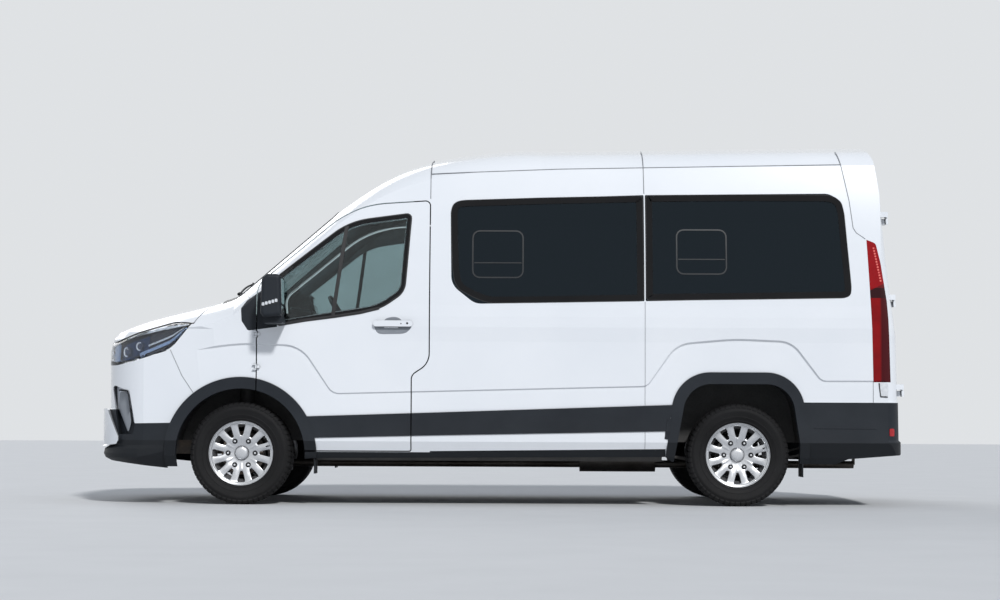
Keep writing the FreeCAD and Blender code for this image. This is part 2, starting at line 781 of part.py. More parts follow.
# Front door hinges on an upright axis just outside the side
DOOR_PIN_X = DOOR_FRONT - GAP / 2
DOOR_PIN_Y = HALF + 5
for z in (1150, 930):
    door_right = door_right.cut(rod((DOOR_PIN_X, DOOR_PIN_Y, z - 23), (DOOR_PIN_X, DOOR_PIN_Y, z + 23), 12))
    lug = rod((DOOR_PIN_X, DOOR_PIN_Y, z - 10), (DOOR_PIN_X, DOOR_PIN_Y, z + 10), 8)
    lug = lug.fuse(box(DOOR_PIN_X, DOOR_PIN_Y - 30, z - 9, DOOR_PIN_X + 24, DOOR_PIN_Y + 4, z + 9))
    lug = lug.cut(rod((DOOR_PIN_X, DOOR_PIN_Y, z - 30), (DOOR_PIN_X, DOOR_PIN_Y, z + 30), 4.3))
    door_right = door_right.fuse(lug)
    ears = rod((DOOR_PIN_X, DOOR_PIN_Y, z - 20), (DOOR_PIN_X, DOOR_PIN_Y, z + 20), 4)
    for low in (z - 20, z + 13):
        ear = box(DOOR_PIN_X - 24, DOOR_PIN_Y - 38, low, DOOR_PIN_X + 2, DOOR_PIN_Y + 4, low + 7)
        ears = ears.fuse(ear)
    notch = rod((DOOR_PIN_X, DOOR_PIN_Y, z - 13), (DOOR_PIN_X, DOOR_PIN_Y, z + 13), 11)
    wings_shape = cut_both(wings_shape, notch).fuse([ears, other(ears)])

# Cladding: the arches' rings, the bands, the sills, the fixed mirror base and the mud flaps
ring_limit = prism_along([(956, 236), (1006, 330), (HALF, 430), (HALF, LOW_TOP)]).common(above)
ring_front = circle_y(FRONT, HUB, TRIM, PLATE_IN - WALL, BIG).cut(circle_y(FRONT, HUB, ARCH, 900))
ring_rear = side(REAR_ARCH_TRIM, 0, PLATE_IN - WALL, BIG).cut(side(REAR_ARCH, 0, 900))
ring_front = ring_front.common(ring_limit)
ring_rear = ring_rear.common(ring_limit)
band = plate(BAND, PLATE_IN, PLATE_OUT, "y").cut(arch_zone).cut(rear_zone)
door_ring = ring_front.common(box(DOOR_FRONT, 900, 368, -1200, 1100, 900))
door_band = band.common(side(DOOR))
fixed_band = band.common(box(PILLAR_REAR + GAP, 900, 300, 1300, 1100, 900))
fixed_ring = ring_front.common(box(-2400, 900, 200, WING_END, 1100, 900))
sill_ring = ring_front.common(box(WING_END, 900, 200, -1200, 1100, 358))
tail_ring = ring_rear.common(box(1000, 900, 200, 2300, 1100, 1000))
sill_ring = sill_ring.fuse(box(FRONT + 497, 790, 210, FRONT + 505, 985, 350))
tail_ring = tail_ring.fuse(box(REAR + 431, 790, 200, REAR + 439, 985, 340))
clad = [fixed_band, fixed_ring, sill_ring, tail_ring, sail_wing]
cladding_shape = Part.makeCompound([p for c in clad for p in (c, other(c))] + sill_shape.Solids)

# Mirror on the door's sail
mirror_outline = [(-1576, 1250, 40), (-1566, 1545, 50), (-1440, 1540, 30), (-1431, 1262, 30)]
mirror_head = plate(mirror_outline, 1085, 1310, "y")
long_edges = [e for e in mirror_head.Edges if e.BoundBox.YLength < 1 and e.BoundBox.YMin > 1300]
mirror_head = mirror_head.makeFillet(26, long_edges)
arm_outline = [(-1560, 1215, 10), (-1560, 1300, 15), (-1450, 1290, 15), (-1425, 1215, 10)]
base_outline = [(-1590, 1205, 20), (-1590, 1420, 60), (-1500, 1460, 20), (-1500, 1210, 20)]
mirror_arm = plate(arm_outline, 1015, 1250, "y")
sail_base = plate(base_outline, 1000, 1045, "y")
mirror = mirror_head.fuse([mirror_arm, sail_base.cut(outer)]).cut(outer)
trim_right = Part.makeCompound([sail_door.fuse(mirror), door_ring, door_band])


def pull(x, z, length, height):
    """A pull bar with round ends that stands off the side on two feet."""
    end = height / 2 - 2
    bar = [(x, z, end), (x, z + height, end), (x + length, z + height, end), (x + length, z, end)]
    grip = plate(bar, HALF + 12, HALF + 26, "y")
    feet = [box(at, HALF - 8, z + 4, at + 34, HALF + 20, z + height - 4) for at in (x + 8, x + length - 42)]
    return grip.fuse(feet)


door_right = door_right.fuse(pull(-838, 1205, 266, 41))
sliding_shape = sliding_shape.fuse(pull(-400, 1205, 266, 41))

# Rear portal, doors, glass and lamps
REAR_DOOR = [(4, 712), (888, 712, 20), (888, 1500, 900), (852, 2090, 600), (806, 2300, 90), (4, 2338)]
REAR_GLASS = [(66, 1395, 60), (836, 1395, 60), (784, 2128, 80), (66, 2150, 60)]


def rear(points, gap=0.0):
    return plate(points, 2440, 2900, "x", gap)


tail_zone = plate(TAIL_LAMP, 905, BIG, "y")
stop_lamp = box(2520, -150, 2446, 2612, 150, 2478).cut(outer)
lamps = tail_part.common(Part.makeCompound([tail_zone, other(tail_zone)]))
tail_lamps_shape = Part.makeCompound(lamps.Solids + stop_lamp.Solids)
hole = rear(REAR_DOOR, GAP).fuse(box(2440, -20, 704, 2900, 20, 2346))
portal_shape = cut_both(cut_both(tail_part, tail_zone), hole)
rear_body = door_face.common(rear(REAR_DOOR)).fuse(door_core.common(rear(REAR_DOOR, 2 - SKIN)))
rear_pane = skin_layer.common(rear(REAR_GLASS))
rear_right = rear_body.cut(rear(REAR_GLASS, -32)).cut(rear_pane)

# Rear door hinges stand off the corner on an axis that leans with the tail
REAR_PIN = Vector(2705, 893, 1387)
rear_way = Vector(-0.0856, 0, 1).normalize()
portal_ears = []
for height in (790, 1400, 1965):
    at = REAR_PIN + rear_way * ((height - 1387) / rear_way.z)
    leaf = box(at.x - 60, 810, at.z - 42, at.x + 4, 893, at.z - 4).cut(outer)
    leaf = leaf.fuse(Part.makeCylinder(13, 40, at - rear_way * 42, rear_way))
    leaf = leaf.fuse(Part.makeCylinder(6, 84, at - rear_way * 42, rear_way))
    rear_right = rear_right.fuse(leaf)
    ear = box(at.x - 70, 893, at.z + 4, at.x + 4, 945, at.z + 40).cut(outer)
    ear = ear.fuse(Part.makeCylinder(13, 40, at + rear_way * 1, rear_way))
    ear = ear.cut(Part.makeCylinder(6.3, 60, at - rear_way * 5, rear_way))
    portal_ears += [ear, other(ear)]
portal_shape = portal_shape.fuse(portal_ears)

# Floor: pan with rockers, front and rear frames, wheel housings, front liners and firewall.
# Each is its own pressing, and they meet face to face.
rocker = box(FRONT + 508, 850, 300, 1120, 961, 530).common(inner)
deck = box(-1640, -961, FLOOR - 30, 2640, 961, FLOOR).common(inner)
deck_wide = box(-430, -990, FLOOR - 30, 1160, 990, FLOOR).common(inner)
house = side(REAR_ARCH, 24, 640, 990).common(inner)
house = house.common(box(1000, 0, 430, 2300, PLATE_IN - WALL, 1000))
house_in = side(REAR_ARCH, 18, 646, 1200)
house_low = house.common(box(1000, 0, 430, 2300, 1000, FLOOR))
house_high = house.common(box(1000, 0, FLOOR, 2300, 1000, 1000)).cut(house_in)
wheel_room = circle_y(FRONT, HUB, 466, 530, 1200)
sill_room = box(-1640, 850, 300, FRONT + 494, 1200, 430)
liner = circle_y(FRONT, HUB, 474, 522, 961).cut(wheel_room)
liner = liner.common(box(-2300, 500, 430, FRONT + 493, 1000, 1000)).common(inner)
liner = liner.fuse(box(-2500, 510, 430, FRONT + 493, 530, 900)).cut(sill_room)
pan = cut_both(deck.fuse(deck_wide), wheel_room)
for s in (rocker, house_low):
    pan = pan.fuse([s, other(s)])
pan = cut_both(cut_both(cut_both(pan, house_in), liner), sill_room)
fire = box(-1640, -900, FLOOR, -1612, 900, 1290).common(inner)
fire = cut_both(cut_both(fire, wheel_room), liner)
rail_front = box(-2640, 400, 430, FRONT + 493, 480, 530)
rail_rear = box(FRONT + 493, 500, RAIL, 2660, 570, 530)
front_cross = [box(x, -470, RAIL, x + 80, 470, 530) for x in (-2640, -1300)]
rear_cross = [box(x, -560, RAIL, x + 80, 560, 530) for x in (-300, 700, 2560)]
front_frame = rail_front.fuse([other(rail_front)] + front_cross)
rear_frame = rail_rear.fuse([other(rail_rear)] + rear_cross)
for x in (2450, 2570):
    for y in (-535, 535):
        rear_frame = rear_frame.cut(rod((x, y, 430), (x, y, 500), 6.5))
floor_parts = [pan, fire, front_frame, rear_frame, liner, other(liner), house_high, other(house_high)]
floor_shape = Part.makeCompound([solid for part in floor_parts for solid in part.Solids])

# Front suspension, fixed side: arms, spring leg and cross-member
ARM_LOW = 228
ARM_HIGH = 474


def arm(reach, root, thick, top):
    """A wishbone in plan whose tip is a round eye for the steering pin."""
    eye = 15
    rows = [(FRONT - reach, root), (FRONT + reach, root), (FRONT + eye, PIN), (FRONT - eye, PIN)]
    plan = plate(rows, top - thick, top, "z").fuse(rod((FRONT, PIN, top - thick), (FRONT, PIN, top), eye))
    return plan.cut(rod((FRONT, PIN, top - thick - 5), (FRONT, PIN, top + 5), 8.3))


def front_side():
    lower = arm(190, 380, 24, ARM_LOW)
    upper = arm(130, 530, 20, ARM_HIGH + 20)
    strut = rod((FRONT, 640, ARM_LOW), (FRONT, 600, 900), 28)
    coil = rod((FRONT, 620, 520), (FRONT, 601, 860), 55)
    tower = box(FRONT - 90, 510, 860, FRONT + 90, 690, 884)
    return lower.fuse([upper, strut, coil, tower])


member = box(FRONT - 210, -500, 204, FRONT + 210, 500, 300)
legs = [box(FRONT - 60, y, 280, FRONT + 60, y + 60, 430) for y in (410, -470)]
suspension_shape = member.fuse([front_side(), other(front_side())] + legs)
for part in floor_parts:
    suspension_shape = suspension_shape.cut(part)

# Leaf springs of the rear axle
LEAVES = [(700, 400, 0), (460, 350, 13), (260, 318, 26)]


def leaf_arc(reach, end_z, low):
    """One curved leaf, 14 mm thick, from its reach fore and aft, end height and place in the stack."""
    ends = [(REAR - reach, 505, end_z - low + 10), (REAR + reach, 505, end_z - low + 10)]
    top = arc(ends[0], (REAR, 505, 300 - low), ends[1])
    under = [(x, y, z - 14) for x, y, z in ends]
    bottom = arc(under[0], (REAR, 505, 286 - low), under[1])
    edges = [top, bottom, line(ends[0], under[0]), line(ends[1], under[1])]
    return Part.Face(Part.Wire(Part.__sortEdges__(edges))).extrude(Vector(0, 60, 0))


leaves = [leaf_arc(*row) for row in LEAVES]
spring = leaves[0].fuse(leaves[1:] + [box(REAR - 60, 500, 254, REAR + 60, 570, 330)])
for x in (REAR - 700, REAR + 700):
    spring = spring.fuse([rod((x, 500, 404), (x, 570, 404), 24), box(x - 22, 500, 404, x + 22, 570, RAIL)])

# Cabin
DASH = [
    (-1612, 900),
    (-1612, 1240, 40),
    (-1420, 1300, 60),
    (-1270, 1235, 60),
    (-1250, 1050, 60),
    (-1380, 900, 60),
]
dash = plate(DASH, -930, 930, "y").common(inner)
dash = cut_both(dash.fuse(box(-1500, -160, FLOOR, -1260, 160, 950)), wheel_room)
WHEEL_AT = Vector(-1080, -470, 1265)
wheel_way = Vector(0.86, 0, 0.5).normalize()
ring = Part.makeTorus(190, 16, WHEEL_AT, wheel_way)
column = Part.makeCylinder(30, 260, WHEEL_AT - wheel_way * 260, wheel_way)
boss = Part.makeCylinder(60, 33, WHEEL_AT - wheel_way * 15, wheel_way)
spokes = rod((WHEEL_AT.x, WHEEL_AT.y - 185, WHEEL_AT.z), (WHEEL_AT.x, WHEEL_AT.y + 185, WHEEL_AT.z), 12)
dash_shape = dash.fuse([ring, column, boss, spokes])
SEAT = [
    (0, 0),
    (-30, 250),
    (-40, 330, 40),
    (430, 390, 50),
    (520, 390),
    (640, 930, 40),
    (740, 930, 40),
    (640, 300, 80),
    (560, 230),
    (520, 0),
]
HEAD = [(650, 950, 30), (680, 1130, 40), (750, 1130, 30), (745, 950, 30)]
PLACE_WIDTH = 480


def seat(x, y0, y1):
    """A bench from y0 to y1, with a head restraint over each place."""
    shape = plate([(x + p[0], FLOOR + p[1], *p[2:]) for p in SEAT], y0, y1, "y")
    count = max(1, round((y1 - y0) / PLACE_WIDTH))
    for i in range(count):
        mid = y0 + (y1 - y0) / count * (i + 0.5)
        head = plate([(x + p[0], FLOOR + p[1], p[2]) for p in HEAD], mid - 120, mid + 120, "y")
        shape = shape.fuse([head, box(x + 680, mid - 60, FLOOR + 900, x + 700, mid + 60, FLOOR + 960)])
    return shape


# Benches: x of the front, y from and to
ROWS = [
    (-1120, -760, -240),
    (-1120, 10, 760),
    (-40, -900, 300),
    (640, -620, 300),
    (1480, -620, 620),
]
seats_shape = Part.makeCompound([seat(*row) for row in ROWS])


# Pieces built from primitives and bodies whose properties are tied to the sheet.
# A rule is (alias, factor, extra).

def worth(rule):
    return size(rule[0]) * rule[1] + rule[2]


def formula(rule):
    return f"sizes.{rule[0]} * {rule[1]} + ({rule[2]})"


def tie(item, prop, value):
    """Sets a property to a plain number, or ties it to the sheet by a rule."""
    if isinstance(value, tuple):
        item.setExpression(prop, formula(value))
    else:
        item.setExpression(prop, str(value))


def place(item, x, y, z):
    for axis, value in zip("xyz", (x, y, z)):
        tie(item, f"Placement.Base.{axis}", value)
    return item


def block(name, corner, span):
    item = doc.addObject("Part::Box", name)
    for prop, value in zip(("Length", "Width", "Height"), span):
        tie(item, prop, value)
    return place(item, *corner)


def bar(name, start, axis, length, radius):
    item = doc.addObject("Part::Cylinder", name)
    turns = {"x": Rotation(Y_AXIS, 90), "y": Rotation(X_AXIS, -90), "z": Rotation()}
    item.Placement = Placement(ORIGIN, turns[axis])
    tie(item, "Height", length)
    tie(item, "Radius", radius)
    return place(item, *start)


def joined(name, items):
    item = doc.addObject("Part::MultiFuse", name)
    item.Shapes = items
    return item


def mirrored(name, source):
    item = doc.addObject("Part::Mirroring", name)
    item.Source = source
    item.Normal = Y_AXIS
    return item


FRONT_X = "front_axle_x"
engine = joined("engine", [
    block("engine_block", ((FRONT_X, 1, -707), ("engine_width", -0.5, 0), 330),
          (("engine_length", 1, 0), ("engine_width", 1, 0), ("engine_height", 1, 0))),
    block("engine_bearer", ((FRONT_X, 1, -567), -400, RAIL), (80, 800, 60)),
])
fuel_tank = joined("fuel_tank", [
    block("tank_shell", (-900, -470, 300), (("tank_length", 1, 0), ("tank_width", 1, 0), RAIL - 301)),
    block("tank_pad", (-300, -300, RAIL - 1), (80, 100, 1)),
])
exhaust_bits = [
    bar("exhaust_pipe", (-1500, 200, 262), "x", 4100, ("pipe_radius", 1, 0)),
    bar("silencer", (600, 200, 290), "x", 550, ("pipe_radius", 1, 58)),
]
for i, x in enumerate((-280, 720, 2590)):
    exhaust_bits.append(block(f"exhaust_hanger_{i}", (x, 190, 262), (20, 20, RAIL - 262)))
exhaust = joined("exhaust", exhaust_bits)

HUB_Z = ("tyre_radius", 1, 0)
FRONT_MID = (FRONT_X, 1, 0)
knuckle_right = joined("knuckle_right", [
    block("upright", ((FRONT_X, 1, -30), ("kingpin_y", 1, -28), ARM_LOW + 0.3),
          (60, 42, ARM_HIGH - ARM_LOW - 0.6)),
    bar("kingpin", (FRONT_MID, ("kingpin_y", 1, 0), ARM_LOW - 20), "z", ARM_HIGH - ARM_LOW + 38, 8),
    bar("stub_axle", (FRONT_MID, ("kingpin_y", 1, -46), HUB_Z), "y", ("track_half", 1, -714.3), 34),
    bar("brake_disc", (FRONT_MID, ("kingpin_y", 1, 20), HUB_Z), "y", 26, ("disc_radius", 1, 0)),
    block("steering_arm", (FRONT_MID, ("kingpin_y", 1, -46), 300), (150, 50, 22)),
    block("caliper", ((FRONT_X, 1, 84), ("kingpin_y", 1, 4), ("tyre_radius", 1, -52)), (64, 56, 104)),
])
knuckle_left = mirrored("knuckle_left", knuckle_right)

REAR_MID = (FRONT_X, 1, size("wheelbase"))
spring_item = doc.addObject("Part::Feature", "leaf_spring")
spring_item.Shape = spring
axle_half = joined("axle_half", [
    bar("axle_tube", (REAR_MID, 0, HUB_Z), "y", ("track_half", 1, -166), 42),
    bar("axle_end", (REAR_MID, ("track_half", 1, -176), HUB_Z), "y", 201.7, 34),
    bar("drum", (REAR_MID, ("track_half", 1, -106), HUB_Z), "y", 68, 140),
    spring_item,
])
rear_axle = joined("rear_axle", [axle_half, mirrored("axle_half_left", axle_half)])


# Wheels: bodies in their own frame, with Y outward and the sketches tied to the sheet

def origin_plane(body, role):
    return next(f for f in body.Origin.OriginFeatures if f.Role == role)


def sketch(body, name, role, offset=0.0):
    item = body.newObject("Sketcher::SketchObject", name)
    item.AttachmentSupport = [(origin_plane(body, role), "")]
    item.MapMode = "FlatFace"
    item.AttachmentOffset = Placement(Vector(0, 0, offset), Rotation())
    return item


def pin_point(item, index, place_on, x, y):
    """Dimensions from the sketch origin to one point of the geometry, tied to the sheet."""
    for kind, rule in (("DistanceX", x), ("DistanceY", y)):
        k = item.addConstraint(Sketcher.Constraint(kind, -1, 1, index, place_on, worth(rule)))
        item.setExpression(f"Constraints[{k}]", formula(rule))


def polygon(item, rows):
    points = [Vector(worth(x), worth(y), 0) for x, y in rows]
    for i, point in enumerate(points):
        item.addGeometry(Part.LineSegment(point, points[(i + 1) % len(points)]), False)
    for i in range(len(points)):
        item.addConstraint(Sketcher.Constraint("Coincident", i, 2, (i + 1) % len(points), 1))
    for i, (x, y) in enumerate(rows):
        pin_point(item, i, 1, x, y)


def disc_at(item, x, y, radius):
    item.addGeometry(Part.Circle(Vector(worth(x), worth(y), 0), Z_AXIS, worth(radius)), False)
    pin_point(item, 0, 3, x, y)
    k = item.addConstraint(Sketcher.Constraint("Radius", 0, worth(radius)))
    item.setExpression(f"Constraints[{k}]", formula(radius))


def turned(body, name, rows):
    """A ring with the given half profile: radius and distance outward."""
    section = sketch(body, f"{name}_section", "XY_Plane")
    polygon(section, rows)
    item = body.newObject("PartDesign::Revolution", name)
    item.Profile = section
    item.ReferenceAxis = (section, ["V_Axis"])
    item.Angle = 360
    return item


def repeated(body, name, source, section, count):
    item = body.newObject("PartDesign::PolarPattern", name)
    item.Originals = [source]
    item.Axis = (section, ["N_Axis"])
    item.Angle = 360
    item.Occurrences = count
    body.Tip = item
    return item


def raised(body, name, section, length):
    item = body.newObject("PartDesign::Pad", name)
    item.Profile = section
    item.Length = length
    item.Reversed = True
    return item


def radius_by(alias, extra):
    return (alias, 1, extra)


def outward(extra, share=0):
    """A distance outward as a share of the tyre's width and a fixed part."""
    return ("tyre_width", share, extra)


TYRE_HALF = [
    (radius_by("bead_radius", 0), outward(-30, 0.5)),
    (radius_by("bead_radius", 15), outward(-24, 0.5)),
    (radius_by("bead_radius", 22), outward(-16, 0.5)),
    (radius_by("tyre_radius", -56), outward(0, 0.5)),
    (radius_by("tyre_radius", -14), outward(-14, 0.5)),
    (radius_by("tyre_radius", 0), outward(-34, 0.5)),
]
TYRE = TYRE_HALF + [(r, (w[0], -w[1], -w[2])) for r, w in reversed(TYRE_HALF)]
BARREL = [
    (radius_by("lip_radius", 0), outward(16, -0.5)),
    (radius_by("bead_radius", 0), outward(29, -0.5)),
    (radius_by("bead_radius", 0), outward(54, -0.5)),
    (radius_by("bead_radius", -20), outward(-40)),
    (radius_by("bead_radius", -20), outward(30)),
    (radius_by("bead_radius", 0), outward(-58, 0.5)),
    (radius_by("bead_radius", 0), outward(-29, 0.5)),
    (radius_by("lip_radius", 0), outward(-23, 0.5)),
    (radius_by("lip_radius", 0), outward(-16, 0.5)),
    (radius_by("lip_radius", -8), outward(-16, 0.5)),
    (radius_by("bead_radius", -8), outward(-26, 0.5)),
    (radius_by("bead_radius", -8), outward(-56, 0.5)),
    (radius_by("bead_radius", -28), outward(32)),
    (radius_by("bead_radius", -28), outward(-42)),
    (radius_by("bead_radius", -8), outward(50, -0.5)),
    (radius_by("bead_radius", -8), outward(24, -0.5)),
    (radius_by("lip_radius", -8), outward(16, -0.5)),
]
FACE = [
    (("lip_radius", 0, 0), outward(26)),
    (("lip_radius", 0, 62), outward(26)),
    (("lip_radius", 0, 110), outward(42)),
    (radius_by("bead_radius", -5), outward(58)),
    (radius_by("bead_radius", -5), outward(72)),
    (("lip_radius", 0, 110), outward(60)),
    (("lip_radius", 0, 62), outward(46)),
    (("lip_radius", 0, 0), outward(46)),
]
WINDOW = [
    (radius_by("lip_radius", -97), outward(-8)),
    (radius_by("lip_radius", -25), outward(-25)),
    (radius_by("lip_radius", -25), outward(25)),
    (radius_by("lip_radius", -97), outward(8)),
]
WINDOWS = 12
NUTS = 6


def stand(body, x, sign):
    """Puts a wheel body at x on one side; sign is 1 on the right."""
    if sign < 0:
        body.Placement = Placement(ORIGIN, Rotation(Z_AXIS, 180))
    place(body, x, ("track_half", sign, 0), HUB_Z)


def tyre_body(name, x, sign):
    body = doc.addObject("PartDesign::Body", name)
    turned(body, f"{name}_ring", TYRE)
    stand(body, x, sign)
    return body


def rim_body(name, x, sign):
    body = doc.addObject("PartDesign::Body", name)
    turned(body, f"{name}_barrel", BARREL)
    turned(body, f"{name}_face", FACE)
    opening = sketch(body, f"{name}_opening", "XZ_Plane", -100)
    polygon(opening, WINDOW)
    pocket = body.newObject("PartDesign::Pocket", f"{name}_window")
    pocket.Profile = opening
    pocket.Type = 0
    pocket.Length = 75
    pocket.Reversed = True
    repeated(body, f"{name}_windows", pocket, opening, WINDOWS)
    cap = sketch(body, f"{name}_cap_circle", "XZ_Plane", -40)
    disc_at(cap, outward(0), outward(0), ("nut_circle", 0, 45))
    raised(body, f"{name}_cap", cap, 28)
    circle = sketch(body, f"{name}_nut_circle", "XZ_Plane", -40)
    disc_at(circle, radius_by("nut_circle", 0), outward(0), ("nut_circle", 0, 11))
    nut = raised(body, f"{name}_nut", circle, 30)
    repeated(body, f"{name}_nuts", nut, circle, NUTS)
    stand(body, x, sign)
    return body


wheels = []
for corner, x, sign in (
    ("front_left", FRONT_MID, -1),
    ("front_right", FRONT_MID, 1),
    ("rear_left", REAR_MID, -1),
    ("rear_right", REAR_MID, 1),
):
    wheels += [tyre_body(f"tyre_{corner}", x, sign), rim_body(f"rim_{corner}", x, sign)]


# Panels and other free forms
SHAPES = [
    ("floor", floor_shape),
    ("cab_frame", cab_shape),
    ("roof", roof_shape),
    ("side_panel_left", side_left_shape),
    ("side_frame_right", side_right_shape),
    ("sliding_door", sliding_shape),
    ("quarter_panels", quarters_shape),
    ("rear_portal", portal_shape),
    ("bonnet", bonnet_shape),
    ("wings", wings_shape),
    ("cowl", cowl_shape),
    ("front_bumper", Part.makeCompound(front_bumper_shape.Solids + ACCENTS)),
    ("bumper_lower", bumper_lower_shape),
    ("grille", grille_shape),
    ("headlamps", headlamps_shape),
    ("windscreen", windscreen_shape),
    ("side_glass", side_glass_shape),
    ("tail_lamps", tail_lamps_shape),
    ("cladding", cladding_shape),
    ("rear_bumper", rear_bumper_shape),
    ("front_door_right", door_right),
    ("front_door_left", other(door_right)),
    ("front_glass_right", door_pane),
    ("front_glass_left", other(door_pane)),
    ("door_trim_right", trim_right),
    ("door_trim_left", other(trim_right)),
    ("rear_door_right", rear_right),
    ("rear_door_left", other(rear_right)),
    ("rear_glass_right", rear_pane),
    ("rear_glass_left", other(rear_pane)),
    ("front_suspension", suspension_shape),
    ("dashboard", dash_shape),
    ("seats", seats_shape),
]
nodes = [knuckle_right, knuckle_left, rear_axle, exhaust, fuel_tank, engine] + wheels
for name, shape in SHAPES:
    item = doc.addObject("Part::Feature", name)
    solids = shape.Solids
    item.Shape = solids[0] if len(solids) == 1 else Part.makeCompound(solids)
    nodes.append(item)
doc.recompute()
for item in doc.Objects:
    if "Invalid" in item.State or "Error" in item.State:
        raise RuntimeError(f"{item.Name}: {item.State}")
for item in nodes:
    item.Label = item.Name
    if item.Shape.isNull() or not item.Shape.isValid() or not item.Shape.Solids:
        raise RuntimeError(f"{item.Label} is not a valid solid")
    item.Shape.exportStep(f"parts/{item.Label}.step")
    print(item.Label, len(item.Shape.Solids), round(item.Shape.Volume / 1e6, 2))
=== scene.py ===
import json
import math

import bmesh
import bpy
from mathutils import Matrix, Vector
from mathutils.bvhtree import BVHTree

# Full-size minibus in metres. X runs rearward, Y to the vehicle's right, Z up.
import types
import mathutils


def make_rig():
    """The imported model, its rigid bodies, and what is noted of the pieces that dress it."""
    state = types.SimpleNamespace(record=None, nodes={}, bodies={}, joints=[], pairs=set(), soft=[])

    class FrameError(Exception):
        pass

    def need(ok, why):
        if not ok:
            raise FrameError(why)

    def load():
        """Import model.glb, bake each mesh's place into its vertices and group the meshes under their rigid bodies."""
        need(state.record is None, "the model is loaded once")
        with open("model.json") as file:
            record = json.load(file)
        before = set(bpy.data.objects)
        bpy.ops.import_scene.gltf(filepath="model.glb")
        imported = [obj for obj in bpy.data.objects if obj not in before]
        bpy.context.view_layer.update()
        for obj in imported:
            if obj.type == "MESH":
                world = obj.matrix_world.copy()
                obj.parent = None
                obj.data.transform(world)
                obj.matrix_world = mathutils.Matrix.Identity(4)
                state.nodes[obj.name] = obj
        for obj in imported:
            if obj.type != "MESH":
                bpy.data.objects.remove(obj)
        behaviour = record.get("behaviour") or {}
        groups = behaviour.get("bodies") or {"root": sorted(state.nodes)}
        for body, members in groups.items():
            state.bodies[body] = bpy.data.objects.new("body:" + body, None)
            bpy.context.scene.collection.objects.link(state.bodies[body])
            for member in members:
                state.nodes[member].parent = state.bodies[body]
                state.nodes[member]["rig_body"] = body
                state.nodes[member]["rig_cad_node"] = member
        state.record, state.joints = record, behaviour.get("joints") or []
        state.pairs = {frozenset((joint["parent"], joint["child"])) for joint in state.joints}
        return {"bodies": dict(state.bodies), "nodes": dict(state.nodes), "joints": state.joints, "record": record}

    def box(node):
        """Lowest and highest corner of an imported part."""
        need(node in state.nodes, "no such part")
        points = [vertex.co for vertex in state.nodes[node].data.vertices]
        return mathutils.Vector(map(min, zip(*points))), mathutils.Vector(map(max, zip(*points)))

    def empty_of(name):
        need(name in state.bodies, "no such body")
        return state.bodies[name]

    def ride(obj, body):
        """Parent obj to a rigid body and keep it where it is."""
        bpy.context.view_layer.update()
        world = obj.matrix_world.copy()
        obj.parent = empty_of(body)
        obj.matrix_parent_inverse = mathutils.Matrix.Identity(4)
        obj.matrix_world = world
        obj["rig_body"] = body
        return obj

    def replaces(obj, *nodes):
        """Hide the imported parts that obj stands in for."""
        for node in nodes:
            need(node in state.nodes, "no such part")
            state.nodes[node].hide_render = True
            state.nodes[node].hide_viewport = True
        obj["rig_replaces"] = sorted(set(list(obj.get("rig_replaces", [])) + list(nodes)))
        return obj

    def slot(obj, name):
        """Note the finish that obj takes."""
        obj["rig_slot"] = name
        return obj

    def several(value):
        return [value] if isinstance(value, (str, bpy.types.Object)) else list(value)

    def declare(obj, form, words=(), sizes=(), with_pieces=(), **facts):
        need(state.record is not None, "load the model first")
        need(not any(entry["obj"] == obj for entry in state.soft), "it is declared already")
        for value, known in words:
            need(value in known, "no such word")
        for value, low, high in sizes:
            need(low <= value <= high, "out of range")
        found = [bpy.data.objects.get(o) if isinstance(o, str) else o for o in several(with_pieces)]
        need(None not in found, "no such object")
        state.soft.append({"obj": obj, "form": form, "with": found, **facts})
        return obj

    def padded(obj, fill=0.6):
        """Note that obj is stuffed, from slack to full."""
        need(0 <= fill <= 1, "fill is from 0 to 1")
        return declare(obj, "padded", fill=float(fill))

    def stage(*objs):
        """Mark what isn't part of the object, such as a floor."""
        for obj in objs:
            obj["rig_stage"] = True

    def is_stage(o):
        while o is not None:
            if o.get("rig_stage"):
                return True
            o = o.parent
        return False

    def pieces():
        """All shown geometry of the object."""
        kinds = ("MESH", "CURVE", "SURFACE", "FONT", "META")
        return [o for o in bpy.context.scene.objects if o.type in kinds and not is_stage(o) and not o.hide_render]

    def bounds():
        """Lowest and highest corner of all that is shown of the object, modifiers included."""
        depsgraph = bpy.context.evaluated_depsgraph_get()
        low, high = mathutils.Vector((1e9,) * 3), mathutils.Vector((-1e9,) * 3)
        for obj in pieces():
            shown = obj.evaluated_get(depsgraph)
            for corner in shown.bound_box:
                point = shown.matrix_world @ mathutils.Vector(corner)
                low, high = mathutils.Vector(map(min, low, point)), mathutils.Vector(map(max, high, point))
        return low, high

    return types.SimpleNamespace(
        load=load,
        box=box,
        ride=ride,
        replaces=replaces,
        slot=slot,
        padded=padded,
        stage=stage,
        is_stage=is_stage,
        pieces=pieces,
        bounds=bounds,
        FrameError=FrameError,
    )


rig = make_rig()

for leftover in list(bpy.data.objects):
    bpy.data.objects.remove(leftover)

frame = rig.load()
cad_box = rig.bounds()
NODES = frame["nodes"]
SLOTS = {part["node"]: part["material_slot"] for part in frame["record"]["subparts"]}


# Materials

SHOULDER_Z = 1.205
SHOULDER_RISE, SHOULDER_FALL = 0.10, 0.15
CABIN_MIDDLE = (0.5, 0.0, 1.35)
CABIN_FRONT_X = -1.66
LAMP_BAND_LOW = 1.412
LAMP_BAND_HEIGHT = 0.070
LAMP_BAND_X = 2.56
LAMP_BAND_SLOPE = 0.5
MAROON_X = (2.585, 2.600)


